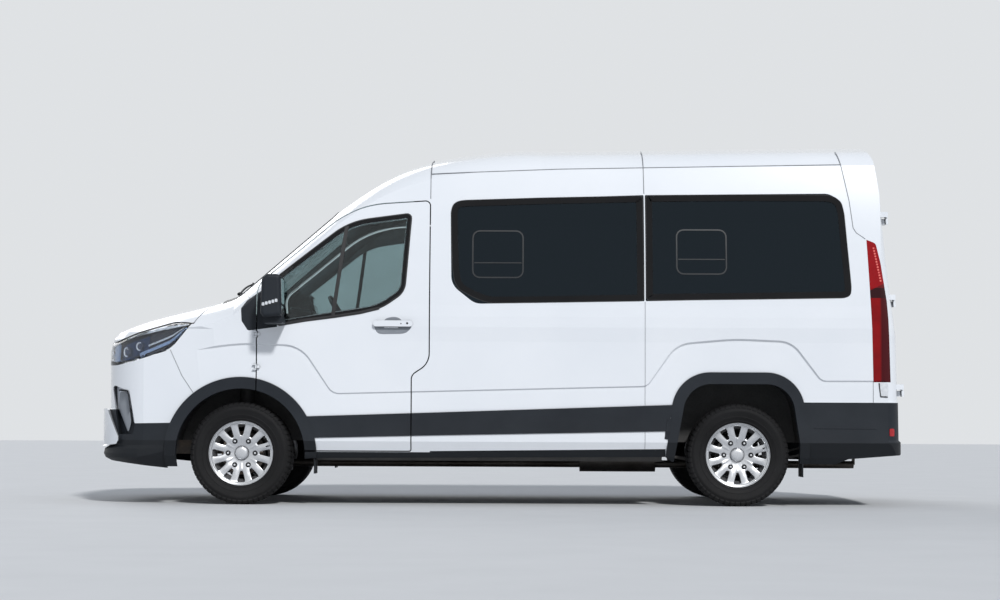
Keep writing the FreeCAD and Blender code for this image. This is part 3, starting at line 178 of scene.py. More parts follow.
def new_material(name, **sockets):
    made = bpy.data.materials.new(name)
    made.use_nodes = True
    shader = made.node_tree.nodes["Principled BSDF"]
    for key, value in sockets.items():
        shader.inputs[key.replace("_", " ")].default_value = value
    return made, made.node_tree, shader


def feed(tree, socket, value):
    """Link another node's output to the socket, or set it to a value."""
    if isinstance(value, bpy.types.NodeSocket):
        tree.links.new(value, socket)
    else:
        socket.default_value = value


def add_node(tree, kind, **values):
    node = tree.nodes.new(kind)
    for key, value in values.items():
        if key in node.inputs:
            feed(tree, node.inputs[key], value)
        else:
            setattr(node, key, value)
    return node


def object_point(tree):
    """Object coordinates, which in this scene are metres in the vehicle's frame."""
    return add_node(tree, "ShaderNodeTexCoord").outputs["Object"]


def axes(tree, point):
    """The X, Y and Z outputs of a point."""
    return add_node(tree, "ShaderNodeSeparateXYZ", Vector=point).outputs


def noise(tree, scale, detail=3.0):
    values = {"Vector": object_point(tree), "Scale": scale, "Detail": detail, "Roughness": 0.55}
    return add_node(tree, "ShaderNodeTexNoise", **values).outputs["Fac"]


def wave(tree, scale, direction, distortion=0.0):
    values = {"Vector": object_point(tree), "Scale": scale, "Distortion": distortion}
    return add_node(tree, "ShaderNodeTexWave", bands_direction=direction, **values).outputs["Fac"]


def operated(tree, kind, operation, *values):
    made = add_node(tree, kind, operation=operation)
    for socket, value in zip(made.inputs, values):
        feed(tree, socket, value)
    return made.outputs


def math_node(tree, operation, first, second=0.0):
    return operated(tree, "ShaderNodeMath", operation, first, second)["Value"]


def product(tree, first, *others):
    for other in others:
        first = math_node(tree, "MULTIPLY", first, other)
    return first


def ramped(tree, factor, low, high, start=0.3, end=0.7):
    """A factor's span from start to end, mapped to the span from low to high."""
    values = {"Value": factor, "From Min": start, "From Max": end, "To Min": low, "To Max": high}
    return add_node(tree, "ShaderNodeMapRange", **values).outputs["Result"]


def mixed(tree, factor, first, second):
    """A colour between two colours or colour sockets."""
    mix = add_node(tree, "ShaderNodeMix", data_type="RGBA", Factor=factor)
    for name, value in (("A", first), ("B", second)):
        socket = next(s for s in mix.inputs if s.name == name and s.type == "RGBA")
        feed(tree, socket, (*value, 1) if isinstance(value, tuple) else value)
    return next(s for s in mix.outputs if s.type == "RGBA")


def set_colour(tree, shader, factor, first, second):
    tree.links.new(mixed(tree, factor, first, second), shader.inputs["Base Color"])


def bump(tree, into, height, distance):
    """Relief of a height in metres, on the normal of the shader or bump node that it goes into."""
    made = add_node(tree, "ShaderNodeBump", Distance=distance, Height=height)
    tree.links.new(made.outputs["Normal"], into.inputs["Normal"])


def surface(name, dark, light, rough, grain, depth, metal=0.0, cloud=3.0, **sockets):
    """Opaque finish: slow colour clouding, roughness that varies, and a fine grain in relief."""
    made, tree, shader = new_material(name, Metallic=metal, **sockets)
    set_colour(tree, shader, ramped(tree, noise(tree, cloud), 0.0, 1.0), dark, light)
    fine = noise(tree, grain, detail=2.0)
    tree.links.new(ramped(tree, fine, *rough), shader.inputs["Roughness"])
    bump(tree, shader, fine, depth)
    return made


def colour_input(made):
    """The node tree, shader and current colour socket of a finish made by surface()."""
    tree = made.node_tree
    shader = tree.nodes["Principled BSDF"]
    return tree, shader, shader.inputs["Base Color"].links[0].from_socket


def painted_crevice_shade(made, distance, floor, dark=(0.02, 0.022, 0.025)):
    """Painted shade: the colour darkens by ambient occlusion in the narrow gaps between panels, and in creases and
    hollows.
    """
    tree, shader, colour = colour_input(made)
    closed = add_node(tree, "ShaderNodeAmbientOcclusion", samples=6, Distance=distance)
    share = ramped(tree, closed.outputs["AO"], floor, 1.0, 0.25, 0.80)
    set_colour(tree, shader, share, dark, colour)


def trim_inside(made, dark, light):
    """Cloth-grey lining on the faces that look into the cabin."""
    tree, shader, colour = colour_input(made)
    place = add_node(tree, "ShaderNodeNewGeometry")
    point, normal = place.outputs["Position"], place.outputs["True Normal"]
    from_middle = operated(tree, "ShaderNodeVectorMath", "SUBTRACT", point, CABIN_MIDDLE)["Vector"]
    facing = operated(tree, "ShaderNodeVectorMath", "DOT_PRODUCT", from_middle, normal)["Value"]
    inward = math_node(tree, "LESS_THAN", facing, -0.05)
    x = axes(tree, point)["X"]
    inside = product(tree, inward, math_node(tree, "GREATER_THAN", x, CABIN_FRONT_X))
    lining = mixed(tree, ramped(tree, noise(tree, 60), 0.0, 1.0), dark, light)
    set_colour(tree, shader, inside, colour, lining)


def patchy_toward_ground(made, dust, low, high, most):
    """A patchy tone that thickens toward the ground: road dust on the tyres, steel and cladding, and on the paint a
    darker tone towards the bottom.
    """
    tree, shader, colour = colour_input(made)
    height = ramped(tree, axes(tree, object_point(tree))["Z"], most, 0.0, low, high)
    patchy = product(tree, height, ramped(tree, noise(tree, 5.0, detail=6.0), 0.3, 1.0))
    set_colour(tree, shader, patchy, colour, dust)


def painted_shade_below(made, dark, height, blend=0.004):
    """Painted shade: below the given height the colour is darker, so the lower mouldings, which tuck in under the
    bands, look shaded.
    """
    tree, shader, colour = colour_input(made)
    z = axes(tree, object_point(tree))["Z"]
    low = ramped(tree, z, 1.0, 0.0, height - blend, height + blend)
    set_colour(tree, shader, low, colour, dark)


def shoulder_relief(made):
    """A shallow crease along the shoulder, as relief over the fine grain."""
    tree, shader, _ = colour_input(made)
    grain = shader.inputs["Normal"].links[0].from_node
    x, y, z = axes(tree, object_point(tree))
    rise = ramped(tree, z, 0.0, 1.0, SHOULDER_Z - SHOULDER_RISE, SHOULDER_Z)
    fall = ramped(tree, z, 1.0, 0.0, SHOULDER_Z, SHOULDER_Z + SHOULDER_FALL)
    along = ramped(tree, x, 0.0, 1.0, -1.0, -0.3)
    aside = ramped(tree, math_node(tree, "ABSOLUTE", y), 0.0, 1.0, 0.90, 0.94)
    bump(tree, grain, product(tree, rise, fall, along, aside), 0.006)


def glass(name, colour, specular, tint=(1, 1, 1), film_rough=0.03):
    """A clear or tinted pane with a faint film of dust."""
    made, tree, shader = new_material(
        name, Transmission_Weight=1.0, IOR=1.45, Specular_IOR_Level=specular, Specular_Tint=(*tint, 1),
    )
    film = ramped(tree, noise(tree, 3.0, detail=5.0), 0.0, 1.0)
    set_colour(tree, shader, film, colour, tuple(c * 0.9 for c in colour))
    tree.links.new(ramped(tree, film, 0.0, film_rough, 0.0, 1.0), shader.inputs["Roughness"])
    return made


def banded_red():
    """Tail lamp: a ribbed lens above, a smoked band, and maroon below toward the rear."""
    made = surface(
        "lamp_red", (0.20, 0.001, 0.003), (0.27, 0.002, 0.004), (0.10, 0.18), 500, 0.00003,
        cloud=9.0, Specular_IOR_Level=0.2,
    )
    tree, shader, colour = colour_input(made)
    x, _, z = axes(tree, object_point(tree))
    lower = math_node(tree, "LESS_THAN", z, LAMP_BAND_LOW)
    above = math_node(tree, "SUBTRACT", 1.0, lower)
    slope = product(tree, math_node(tree, "SUBTRACT", x, LAMP_BAND_X), LAMP_BAND_SLOPE)
    band_top = math_node(tree, "ADD", slope, LAMP_BAND_LOW + LAMP_BAND_HEIGHT)
    band = product(tree, math_node(tree, "LESS_THAN", z, band_top), above)
    maroon = product(tree, lower, ramped(tree, x, 0.0, 1.0, *MAROON_X))
    colour = mixed(tree, band, colour, (0.030, 0.004, 0.006))
    colour = mixed(tree, maroon, colour, (0.065, 0.002, 0.005))
    upper = math_node(tree, "GREATER_THAN", z, LAMP_BAND_LOW + LAMP_BAND_HEIGHT)
    ribbed = product(tree, wave(tree, 52.0, "Z"), upper, 0.35)
    set_colour(tree, shader, ribbed, colour, (0.62, 0.02, 0.03))
    return made


def woven(name, dark, light):
    """Seat cloth: fine weave in relief, woven flecks and a little sheen."""
    made, tree, shader = new_material(name, Roughness=0.9, Sheen_Weight=0.3)
    flecks = ramped(tree, noise(tree, 140, detail=2.0), 0.0, 1.0, 0.42, 0.62)
    set_colour(tree, shader, flecks, dark, light)
    weave = product(tree, wave(tree, 260.0, "X", 0.6), wave(tree, 260.0, "Y", 0.6))
    bump(tree, shader, weave, 0.0006)
    return made


PAINT = surface(
    "body_paint", (0.80, 0.83, 0.87), (0.84, 0.865, 0.90), (0.18, 0.25), 700, 0.00004,
    cloud=1.5, Coat_Weight=1.0, Coat_Roughness=0.03,
)
trim_inside(PAINT, (0.10, 0.105, 0.11), (0.15, 0.155, 0.16))
# Painted shade darkens the paint in its seams, gaps and creases.
painted_crevice_shade(PAINT, 0.018, 0.10, (0.26, 0.27, 0.29))
# The paint is patchily darker towards the bottom.
patchy_toward_ground(PAINT, (0.42, 0.41, 0.39), 0.30, 0.60, 0.15)
shoulder_relief(PAINT)
GREY = surface(
    "cladding_grey", (0.010, 0.013, 0.018), (0.017, 0.021, 0.027), (0.45, 0.62), 900, 0.0003,
    Specular_IOR_Level=0.25,
)
patchy_toward_ground(GREY, (0.12, 0.115, 0.11), 0.25, 0.60, 0.10)
# Painted shade: the cladding below 0.432 m is darker, where it tucks in.
painted_shade_below(GREY, (0.010, 0.012, 0.015), 0.432)
# Painted shade darkens the cladding in its gaps.
painted_crevice_shade(GREY, 0.010, 0.3)
# Painted shadow: grey for thin strips that stand for the shaded grooves of the roof seams and gutter.
SEAM_SHADOW = surface("seam_sealer", (0.16, 0.17, 0.185), (0.24, 0.25, 0.27), (0.5, 0.7), 400, 0.00005, cloud=20)
BLACK = surface(
    "black_plastic", (0.008, 0.009, 0.011), (0.014, 0.015, 0.018), (0.38, 0.56), 900, 0.00025,
    Specular_IOR_Level=0.3,
)
SEAL = surface("seal_rubber", (0.006, 0.006, 0.007), (0.012, 0.012, 0.013), (0.45, 0.65), 600, 0.0001)
SLIDER = surface("slider_frame", (0.009, 0.010, 0.012), (0.015, 0.017, 0.019), (0.3, 0.4), 500, 0.0001)
FRIT = surface(
    "printed_border", (0.004, 0.004, 0.005), (0.007, 0.007, 0.008), (0.04, 0.07), 900, 0.00001,
    Specular_IOR_Level=0.22,
)
# Painted shade: grey for sheets that stand for the shaded floors of recesses.
RECESS_SHADE = surface("handle_recess", (0.20, 0.22, 0.245), (0.28, 0.30, 0.33), (0.30, 0.42), 500, 0.00005)
RUBBER = surface(
    "tyre_rubber", (0.003, 0.003, 0.0035), (0.008, 0.008, 0.009), (0.62, 0.85), 320, 0.0004,
    Specular_IOR_Level=0.25,
)
patchy_toward_ground(RUBBER, (0.10, 0.095, 0.09), 0.0, 0.70, 0.08)
ALLOY = surface(
    "alloy", (0.58, 0.59, 0.61), (0.70, 0.71, 0.73), (0.24, 0.36), 500, 0.00006, metal=0.85, Coat_Weight=0.6,
)
# Painted shade darkens the alloy in its openings and hollows.
painted_crevice_shade(ALLOY, 0.03, 0.25)
BRIGHT = surface("bright_metal", (0.86, 0.87, 0.89), (0.93, 0.94, 0.95), (0.1, 0.18), 500, 0.00002, metal=1)
CHROME = surface("chrome", (0.80, 0.81, 0.83), (0.88, 0.89, 0.90), (0.03, 0.07), 400, 0.00001, metal=1.0)
MIRROR = surface("mirror_glass", (0.84, 0.86, 0.88), (0.88, 0.9, 0.92), (0.01, 0.03), 300, 0.00001, metal=1)
STEEL = surface("steel", (0.012, 0.013, 0.014), (0.035, 0.034, 0.033), (0.5, 0.75), 90, 0.0006)
patchy_toward_ground(STEEL, (0.13, 0.12, 0.11), 0.20, 0.60, 0.5)
IRON = surface(
    "cast_iron", (0.1, 0.095, 0.09), (0.2, 0.16, 0.13), (0.5, 0.8), 150, 0.0008, metal=0.6, cloud=14,
)
# The exhaust steel is made dark, as painted shade for its place in the shadow under the body.
EXHAUST = surface(
    "exhaust_steel", (0.06, 0.05, 0.042), (0.14, 0.13, 0.12), (0.4, 0.65), 60, 0.0003, metal=0.9,
)
FABRIC = woven("seat_fabric", (0.020, 0.023, 0.028), (0.070, 0.076, 0.088))
CLEAR = glass("clear_glass", (0.46, 0.57, 0.58), specular=0.5)
DARK = glass("dark_glass", (0.006, 0.009, 0.014), specular=0.30, tint=(0.62, 0.82, 1.0))
LENS = glass("lamp_clear", (0.93, 0.96, 1.0), specular=0.25)
CLEAR_LAMP = surface("lamp_white", (0.62, 0.64, 0.67), (0.78, 0.8, 0.82), (0.05, 0.12), 300, 0.0002, cloud=40)
LAMP_BLACK = surface("lamp_bowl", (0.004, 0.008, 0.022), (0.010, 0.020, 0.050), (0.12, 0.25), 700, 0.00005)
BLUE = surface("lamp_reflector", (0.01, 0.03, 0.08), (0.03, 0.06, 0.15), (0.08, 0.16), 300, 0.0001, metal=0.8)
PALE_BLUE = surface(
    "lamp_pale_bar", (0.20, 0.31, 0.52), (0.36, 0.48, 0.70), (0.1, 0.2), 400, 0.0001, cloud=30,
)
GUIDE = surface("light_guide", (0.55, 0.60, 0.66), (0.72, 0.76, 0.82), (0.12, 0.22), 400, 0.0001, cloud=30)
RED = banded_red()
REFLEX = surface("reflector_red", (0.32, 0.006, 0.01), (0.5, 0.01, 0.016), (0.1, 0.2), 260, 0.0004, cloud=60)
LED = surface("lamp_diodes", (0.75, 0.10, 0.10), (0.95, 0.22, 0.18), (0.10, 0.20), 500, 0.0001, cloud=60)

FINISH = {
    "body_paint": PAINT, "cladding_grey": GREY, "black_plastic": BLACK, "clear_glass": CLEAR,
    "dark_glass": DARK, "lamp_clear": LENS, "lamp_red": RED, "tyre_rubber": RUBBER, "alloy": ALLOY,
    "steel": STEEL, "cast_iron": IRON, "exhaust_steel": EXHAUST, "seat_fabric": FABRIC,
}
for name, node in NODES.items():
    for slot in node.material_slots:
        slot.material = FINISH[SLOTS[name]]


# Ray casting and outlines on the CAD nodes

BODY = "body"
LEFT = -1
RIGHT = 1
SIDE_NAME = {LEFT: "left", RIGHT: "right"}
RAY_START = 0.8
MERGE = 1e-5
OUTWARD = 0.5


def tree_of(*names):
    """One ray-casting tree over several CAD nodes."""
    points, faces = [], []
    for name in names:
        mesh = NODES[name].data
        start = len(points)
        points += [v.co.copy() for v in mesh.vertices]
        faces += [[start + i for i in p.vertices] for p in mesh.polygons]
    return BVHTree.FromPolygons(points, faces)


def caster(tree, origin, across, up, out):
    """A function from plane coordinates to the point on the surface, moved out by proud."""
    origin, across, up, out = (Vector(v) for v in (origin, across, up, out))

    def on(a, b, proud=0.0):
        start = origin + across * a + up * b + out * RAY_START
        hit, normal, _, _ = tree.ray_cast(start, -out)
        if hit is None:
            raise ValueError(f"no surface at {a:.3f}, {b:.3f}")
        if normal.dot(out) < 0:
            normal = -normal
        return hit + normal * proud

    on.flat = lambda p: ((p - origin).dot(across), (p - origin).dot(up))
    on.out, on.across, on.up = out, across, up
    return on


def side_caster(side, *names, plane=1.1):
    return caster(tree_of(*names), (0, side * plane, 0), (1, 0, 0), (0, 0, 1), (0, side, 0))


def back_caster(*names, plane=2.5):
    return caster(tree_of(*names), (plane, 0, 0), (0, 1, 0), (0, 0, 1), (1, 0, 0))


def outline(node, out, on):
    """The longest loop round the faces of a node that look outward, in the caster's coordinates."""
    out = Vector(out)
    bm = bmesh.new()
    bm.from_mesh(NODES[node].data)
    bmesh.ops.remove_doubles(bm, verts=bm.verts, dist=MERGE)
    chosen = {f for f in bm.faces if f.normal.dot(out) > OUTWARD and f.calc_center_median().dot(out) > 0}
    links = {}
    for edge in bm.edges:
        if sum(f in chosen for f in edge.link_faces) == 1:
            a, b = edge.verts
            links.setdefault(a, []).append(b)
            links.setdefault(b, []).append(a)
    loops = []
    while links:
        loop, here = [], next(iter(links))
        while here is not None:
            loop.append(on.flat(here.co))
            here = next((v for v in links.pop(here) if v in links), None)
        loops.append(loop)
    bm.free()
    return max(loops, key=len)


def between(a, b, t):
    """The flat point at share t of the way from a to b."""
    return a[0] + (b[0] - a[0]) * t, a[1] + (b[1] - a[1]) * t


def heading(a, b):
    return Vector((b[0] - a[0], b[1] - a[1])).normalized()


def resampled(points, step):
    """A closed line of flat points, spaced evenly."""
    ends = points[1:] + points[:1]
    lengths = [math.dist(a, b) for a, b in zip(points, ends)]
    total = sum(lengths)
    count = max(8, round(total / step))
    made, i, walked = [], 0, 0.0
    for k in range(count):
        goal = total * k / count
        while walked + lengths[i] < goal:
            walked += lengths[i]
            i += 1
        made.append(between(points[i], ends[i], (goal - walked) / lengths[i]))
    return made


def inset(points, gap):
    """The closed line moved inward by gap."""
    area = sum(a[0] * b[1] - b[0] * a[1] for a, b in zip(points, points[1:] + points[:1]))
    turn = 1 if area > 0 else -1
    made = []
    for i, (a, b) in enumerate(points):
        way = heading(points[i - 1], points[(i + 1) % len(points)])
        made.append((a - way.y * gap * turn, b + way.x * gap * turn))
    return made


# Pieces

SUNK = 0.002


def add_piece(name, data, finish, body=BODY):
    data.materials.append(finish)
    made = bpy.data.objects.new(name, data)
    bpy.context.collection.objects.link(made)
    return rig.ride(made, body)


def from_bmesh(name, bm, finish, body=BODY, sharp=32):
    """A piece from a bmesh, smooth but for edges that turn more than sharp degrees."""
    bmesh.ops.recalc_face_normals(bm, faces=bm.faces)
    for face in bm.faces:
        face.smooth = True
    for edge in bm.edges:
        edge.smooth = edge.calc_face_angle(0) < math.radians(sharp)
    mesh = bpy.data.meshes.new(name)
    bm.to_mesh(mesh)
    bm.free()
    return add_piece(name, mesh, finish, body)


def modified(made, kind, **values):
    added = made.modifiers.new(kind.lower(), kind)
    for key, value in values.items():
        setattr(added, key, value)
    return made


def bevelled(made, width, segments=2):
    limit = math.radians(35)
    return modified(made, "BEVEL", width=width, segments=segments, limit_method="ANGLE", angle_limit=limit)


def tube(name, points, radius, finish, body=BODY, closed=True):
    """A round bead along a line of points."""
    curve = bpy.data.curves.new(name, "CURVE")
    curve.dimensions = "3D"
    curve.bevel_depth = radius
    curve.bevel_resolution = 2
    curve.use_fill_caps = not closed
    spline = curve.splines.new("POLY")
    spline.points.add(len(points) - 1)
    for point, place in zip(spline.points, points):
        point.co = (*place, 1)
    spline.use_cyclic_u = closed
    return add_piece(name, curve, finish, body)


def ring_faces(bm, first, second, closed=True):
    count = len(first)
    for i in range(count if closed else count - 1):
        j = (i + 1) % count
        bm.faces.new((first[i], first[j], second[j], second[i]))


def sheet(bm, rows, closed=True):
    """Faces between rows of points; the rows' new vertices are given back."""
    rings = [[bm.verts.new(p) for p in row] for row in rows]
    for first, second in zip(rings, rings[1:]):
        ring_faces(bm, first, second, closed)
    return rings


def solid(bm, rows):
    """A closed form from matching loops of points, with a face at each end."""
    rings = sheet(bm, rows)
    bm.faces.new(rings[0])
    bm.faces.new(rings[-1])


def border_band(name, on, line, start, width, proud, finish, body=BODY):
    """A thin band that follows the inside of a pane's edge."""
    edge = resampled(line, 0.02)
    profile = ((start, 0.0), (start, proud), (start + width, proud), (start + width, 0.0))
    bm = bmesh.new()
    sheet(bm, [[on(a, b, height) for a, b in inset(edge, gap)] for gap, height in profile])
    return from_bmesh(name, bm, finish, body)


def seal(name, on, line, radius, body=BODY):
    """A rubber bead round a pane."""
    edge = inset(resampled(line, 0.015), 0.002)
    return tube(name, [on(a, b) for a, b in edge], radius, SEAL, body)


def strip_on(name, on, points, width, proud, finish, body=BODY, steps=12):
    """A flat bar of even width that follows straight runs on a surface."""
    line = [between(a, b, k / steps) for a, b in zip(points, points[1:]) for k in range(steps)]
    line.append(points[-1])
    rows = []
    for i, (a, b) in enumerate(line):
        way = heading(line[max(i - 1, 0)], line[min(i + 1, len(line) - 1)]) * (width / 2)
        left, right = (a - way.y, b + way.x), (a + way.y, b - way.x)
        rows.append([on(*left, -SUNK), on(*left, proud), on(*right, proud), on(*right, -SUNK)])
    bm = bmesh.new()
    solid(bm, rows)
    return bevelled(from_bmesh(name, bm, finish, body), min(width, proud + SUNK) * 0.25)


def rim_of(grid):
    """The border of a square grid of vertices, once round."""
    ahead = grid[0][:-1] + [row[-1] for row in grid[:-1]]
    return ahead + grid[-1][:0:-1] + [row[0] for row in grid[:0:-1]]


def patch(name, on, low, high, thick, finish, body=BODY, soft=0.5, dome=0.0, cells=12):
    """A rounded plate on a surface between two corners; dome lifts or sinks its middle."""
    grid = []
    for i in range(cells + 1):
        row = []
        for j in range(cells + 1):
            u, v = 2 * i / cells - 1, 2 * j / cells - 1
            a = (low[0] + high[0]) / 2 + (high[0] - low[0]) / 2 * u * math.sqrt(1 - soft * v * v / 2)
            b = (low[1] + high[1]) / 2 + (high[1] - low[1]) / 2 * v * math.sqrt(1 - soft * u * u / 2)
            row.append((a, b, thick + dome * (1 - u * u) * (1 - v * v)))
        grid.append(row)
    bm = bmesh.new()
    top = sheet(bm, [[on(*place) for place in row] for row in grid], closed=False)
    under = sheet(bm, [[on(a, b, -SUNK) for a, b, _ in row] for row in grid], closed=False)
    ring_faces(bm, rim_of(top), rim_of(under))
    return from_bmesh(name, bm, finish, body, sharp=50)


def about(centre, turn):
    """A function from radius, angle and distance along an axis, which is turn's Z, to a point."""
    return lambda r, angle, w: centre + turn @ Vector((r * math.cos(angle), r * math.sin(angle), w))


def lathe(bm, rows, place, count, closed=False):
    """A surface turned about an axis from rows of radius and distance along it."""
    angles = [2 * math.pi * i / count for i in range(count)]
    rings = sheet(bm, [[place(r, angle, w) for r, w in rows] for angle in angles], closed)
    ring_faces(bm, rings[-1], rings[0], closed)


def ball(bm, centre, radius, flat, segments, turn):
    """A ball flattened along its own Z, which turn tilts."""
    made = bmesh.ops.create_uvsphere(bm, u_segments=segments, v_segments=segments // 2, radius=radius)
    for vert in made["verts"]:
        vert.co = centre + turn @ (vert.co * Vector((1, 1, flat)))


def cuboid(bm, low, high, turn=Matrix.Identity(3)):
    """A box between two corners, turned about its middle."""
    low, high = Vector(low), Vector(high)
    middle, span = (low + high) / 2, high - low
    for vert in bmesh.ops.create_cube(bm, size=1.0)["verts"]:
        vert.co = middle + turn @ (vert.co * span)


def block(name, low, high, finish, rounding, lean=0, body=BODY, segments=3):
    """One rounded box between two corners, leaned about Y by degrees."""
    bm = bmesh.new()
    cuboid(bm, low, high, Matrix.Rotation(math.radians(lean), 3, "Y"))
    return bevelled(from_bmesh(name, bm, finish, body), rounding, segments)


# Wheels

WHEELS = ["front_left", "front_right", "rear_left", "rear_right"]
WALL = [
    (0.204, 0.030), (0.216, 0.025), (0.224, 0.016), (0.232, 0.012), (0.235, 0.0135), (0.256, 0.006),
    (0.259, 0.0045), (0.262, 0.006), (0.290, 0.0012), (0.296, 0.0), (0.303, 0.0008), (0.306, 0.0025),
    (0.322, 0.008),
]
TREAD_DEPTH = 0.008
PITCHES = 56
PITCH = 2 * math.pi / PITCHES
RIBS = [(-0.012, 0.012, 0), (0.018, 0.046, 1), (-0.046, -0.018, 1)]
SHOULDER_START = 0.052
SHOULDER_BLOCK = [
    (0.000, 0.052), (0.0015, 0.088), (0.0075, 0.101), (0.0215, 0.1115), (0.034, 0.110), (0.020, 0.090),
    (0.014, 0.052),
]
OPENINGS = 12
OPENING_INNER = 0.122
OPENING_OUTER = 0.194
OPENING_HALF = (0.0075, 0.025)


def wheel_place(corner):
    low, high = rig.box(f"tyre_{corner}")
    centre = (low + high) / 2
    return centre, (RIGHT if centre.y > 0 else LEFT), (high.z - low.z) / 2, (high.y - low.y) / 2


def wheel_axis(centre, outward):
    return about(centre, Matrix(((1, 0, 0), (0, 0, outward), (0, 1, 0))))


def tyre_piece(corner):
    """Carcass with sidewall rings, and five rows of tread blocks."""
    centre, outward, radius, half = wheel_place(corner)
    at = wheel_axis(centre, outward)
    base = radius - TREAD_DEPTH
    wall = [(r, half - depth) for r, depth in [*WALL, (base - 0.004, 0.018), (base, 0.034)]]
    rows = wall + [(base, 0.0)] + [(r, -w) for r, w in reversed(wall)]
    bead = WALL[0][0]
    bm = bmesh.new()
    lathe(bm, rows + [(bead, -half + 0.035), (bead, half - 0.035)], at, 96, closed=True)
    for w0, w1, shift in RIBS:
        lean = PITCH * 0.35 * (1 if w0 + w1 >= 0 else -1)
        for i in range(PITCHES):
            a0 = PITCH * (i + 0.5 * shift)
            a1 = a0 + PITCH * 0.74
            corners = ((a0, w0), (a1, w0), (a1 + lean, w1), (a0 + lean, w1))
            solid(bm, [
                [at(radius - drop, angle, w) for angle, w in corners] for drop in (TREAD_DEPTH + 0.006, 0.0)
            ])
    for flank in (1, -1):
        for i in range(PITCHES):
            section = []
            for r, w in SHOULDER_BLOCK:
                lean = PITCH * 0.3 * (w - SHOULDER_START) / 0.06
                section.append((radius - r, PITCH * (i + 0.25) + lean, flank * w))
            solid(bm, [[at(r, angle + wide, w) for r, angle, w in section] for wide in (0.0, PITCH * 0.76)])
    made = from_bmesh(f"tyre_detail_{corner}", bm, RUBBER, f"wheel_{corner}", sharp=25)
    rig.slot(made, "tyre_rubber")
    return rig.replaces(made, f"tyre_{corner}")


def opening_half_angle(r):
    t = min(max((r - OPENING_INNER) / (OPENING_OUTER - OPENING_INNER), 0.0), 1.0)
    half = OPENING_HALF[0] + (OPENING_HALF[1] - OPENING_HALF[0]) * t
    return math.asin(half / min(max(r, OPENING_INNER), OPENING_OUTER))


FACE_ROWS = [
    (0.040, 0.046), (0.060, 0.047), (0.078, 0.051), (0.092, 0.054), (0.108, 0.059), (0.122, 0.0615),
    (0.136, 0.063), (0.150, 0.065), (0.165, 0.067), (0.180, 0.069), (0.194, 0.0715), (0.199, 0.0740),
    (0.207, 0.0800), (0.2130, 0.0895),
]
SPOKE_COLUMNS = 6
OPENING_COLUMNS = 4


def rim_face(bm, at):
    """The alloy's face: twelve spokes in pairs, with ridges beside the tapered openings."""
    sector = 2 * math.pi / OPENINGS
    rings = []
    for r, w in FACE_ROWS:
        ring = []
        half = opening_half_angle(r)
        for k in range(OPENINGS):
            middle = k * sector
            paired = k % 2 == 1
            for i in range(OPENING_COLUMNS):
                angle = -half + 2 * half * i / OPENING_COLUMNS
                hub = max(0.0, 1 - abs(r - 0.098) / 0.030)
                ridge = 0.004 * hub if paired else -0.003 * hub
                ring.append((r, middle + angle, w + ridge))
            for i in range(SPOKE_COLUMNS):
                t = i / SPOKE_COLUMNS
                angle = half + (sector - 2 * half) * t
                crown = math.cos((2 * t - 1) * math.pi / 2)
                relief = 0.008 * max(0.0, 1 - abs(r - 0.150) / 0.055)
                ring.append((r, middle + angle, w + relief * (crown - 0.6)))
        rings.append([bm.verts.new(at(*place)) for place in ring])
    columns = OPENING_COLUMNS + SPOKE_COLUMNS
    for (row, first), second in zip(enumerate(rings), rings[1:]):
        inside = FACE_ROWS[row][0] >= OPENING_INNER and FACE_ROWS[row + 1][0] <= OPENING_OUTER
        for i in range(len(first)):
            if inside and i % columns < OPENING_COLUMNS:
                continue
            j = (i + 1) % len(first)
            bm.faces.new((first[i], first[j], second[j], second[i]))


BARREL_ROWS = [
    (0.219, -0.100), (0.219, -0.094), (0.205, -0.087), (0.204, -0.062), (0.186, -0.040), (0.186, 0.030),
    (0.204, 0.056), (0.2045, 0.087), (0.2185, 0.0935), (0.219, 0.098), (0.2170, 0.100), (0.2145, 0.0985),
    (0.2125, 0.092), (0.2070, 0.078), (0.2000, 0.070), (0.1965, 0.060), (0.194, 0.052), (0.176, 0.030),
    (0.176, -0.042), (0.197, -0.066), (0.198, -0.092), (0.211, -0.100),
]
RIM_BAR = [(0.1985, -0.105, 0.0), (0.2055, -0.105, 0.002), (0.2055, 0.105, 0.002), (0.1985, 0.105, 0.0)]
CAP_ROWS = [(0.0, 0.0735), (0.020, 0.0732), (0.034, 0.0718), (0.040, 0.069), (0.0435, 0.064), (0.0445, 0.056)]
WELL_ROWS = [(0.0175, 0.044), (0.0175, 0.0575), (0.0160, 0.0590), (0.0140, 0.0575), (0.0, 0.0570)]
NUT_ROWS = [(0.0085, 0.055), (0.0085, 0.0660), (0.0070, 0.0690), (0.0030, 0.0700), (0.0, 0.0700)]
NUTS = 6
NUT_CIRCLE = 0.092
VALVE_ANGLE = math.radians(15)


def turned(name, rows, places, count, finish, body, sharp):
    """One piece with a form turned about each of the places, closed at its axis."""
    bm = bmesh.new()
    for place in places:
        lathe(bm, rows, place, count)
    bmesh.ops.remove_doubles(bm, verts=bm.verts, dist=1e-6)
    return from_bmesh(name, bm, finish, body, sharp)


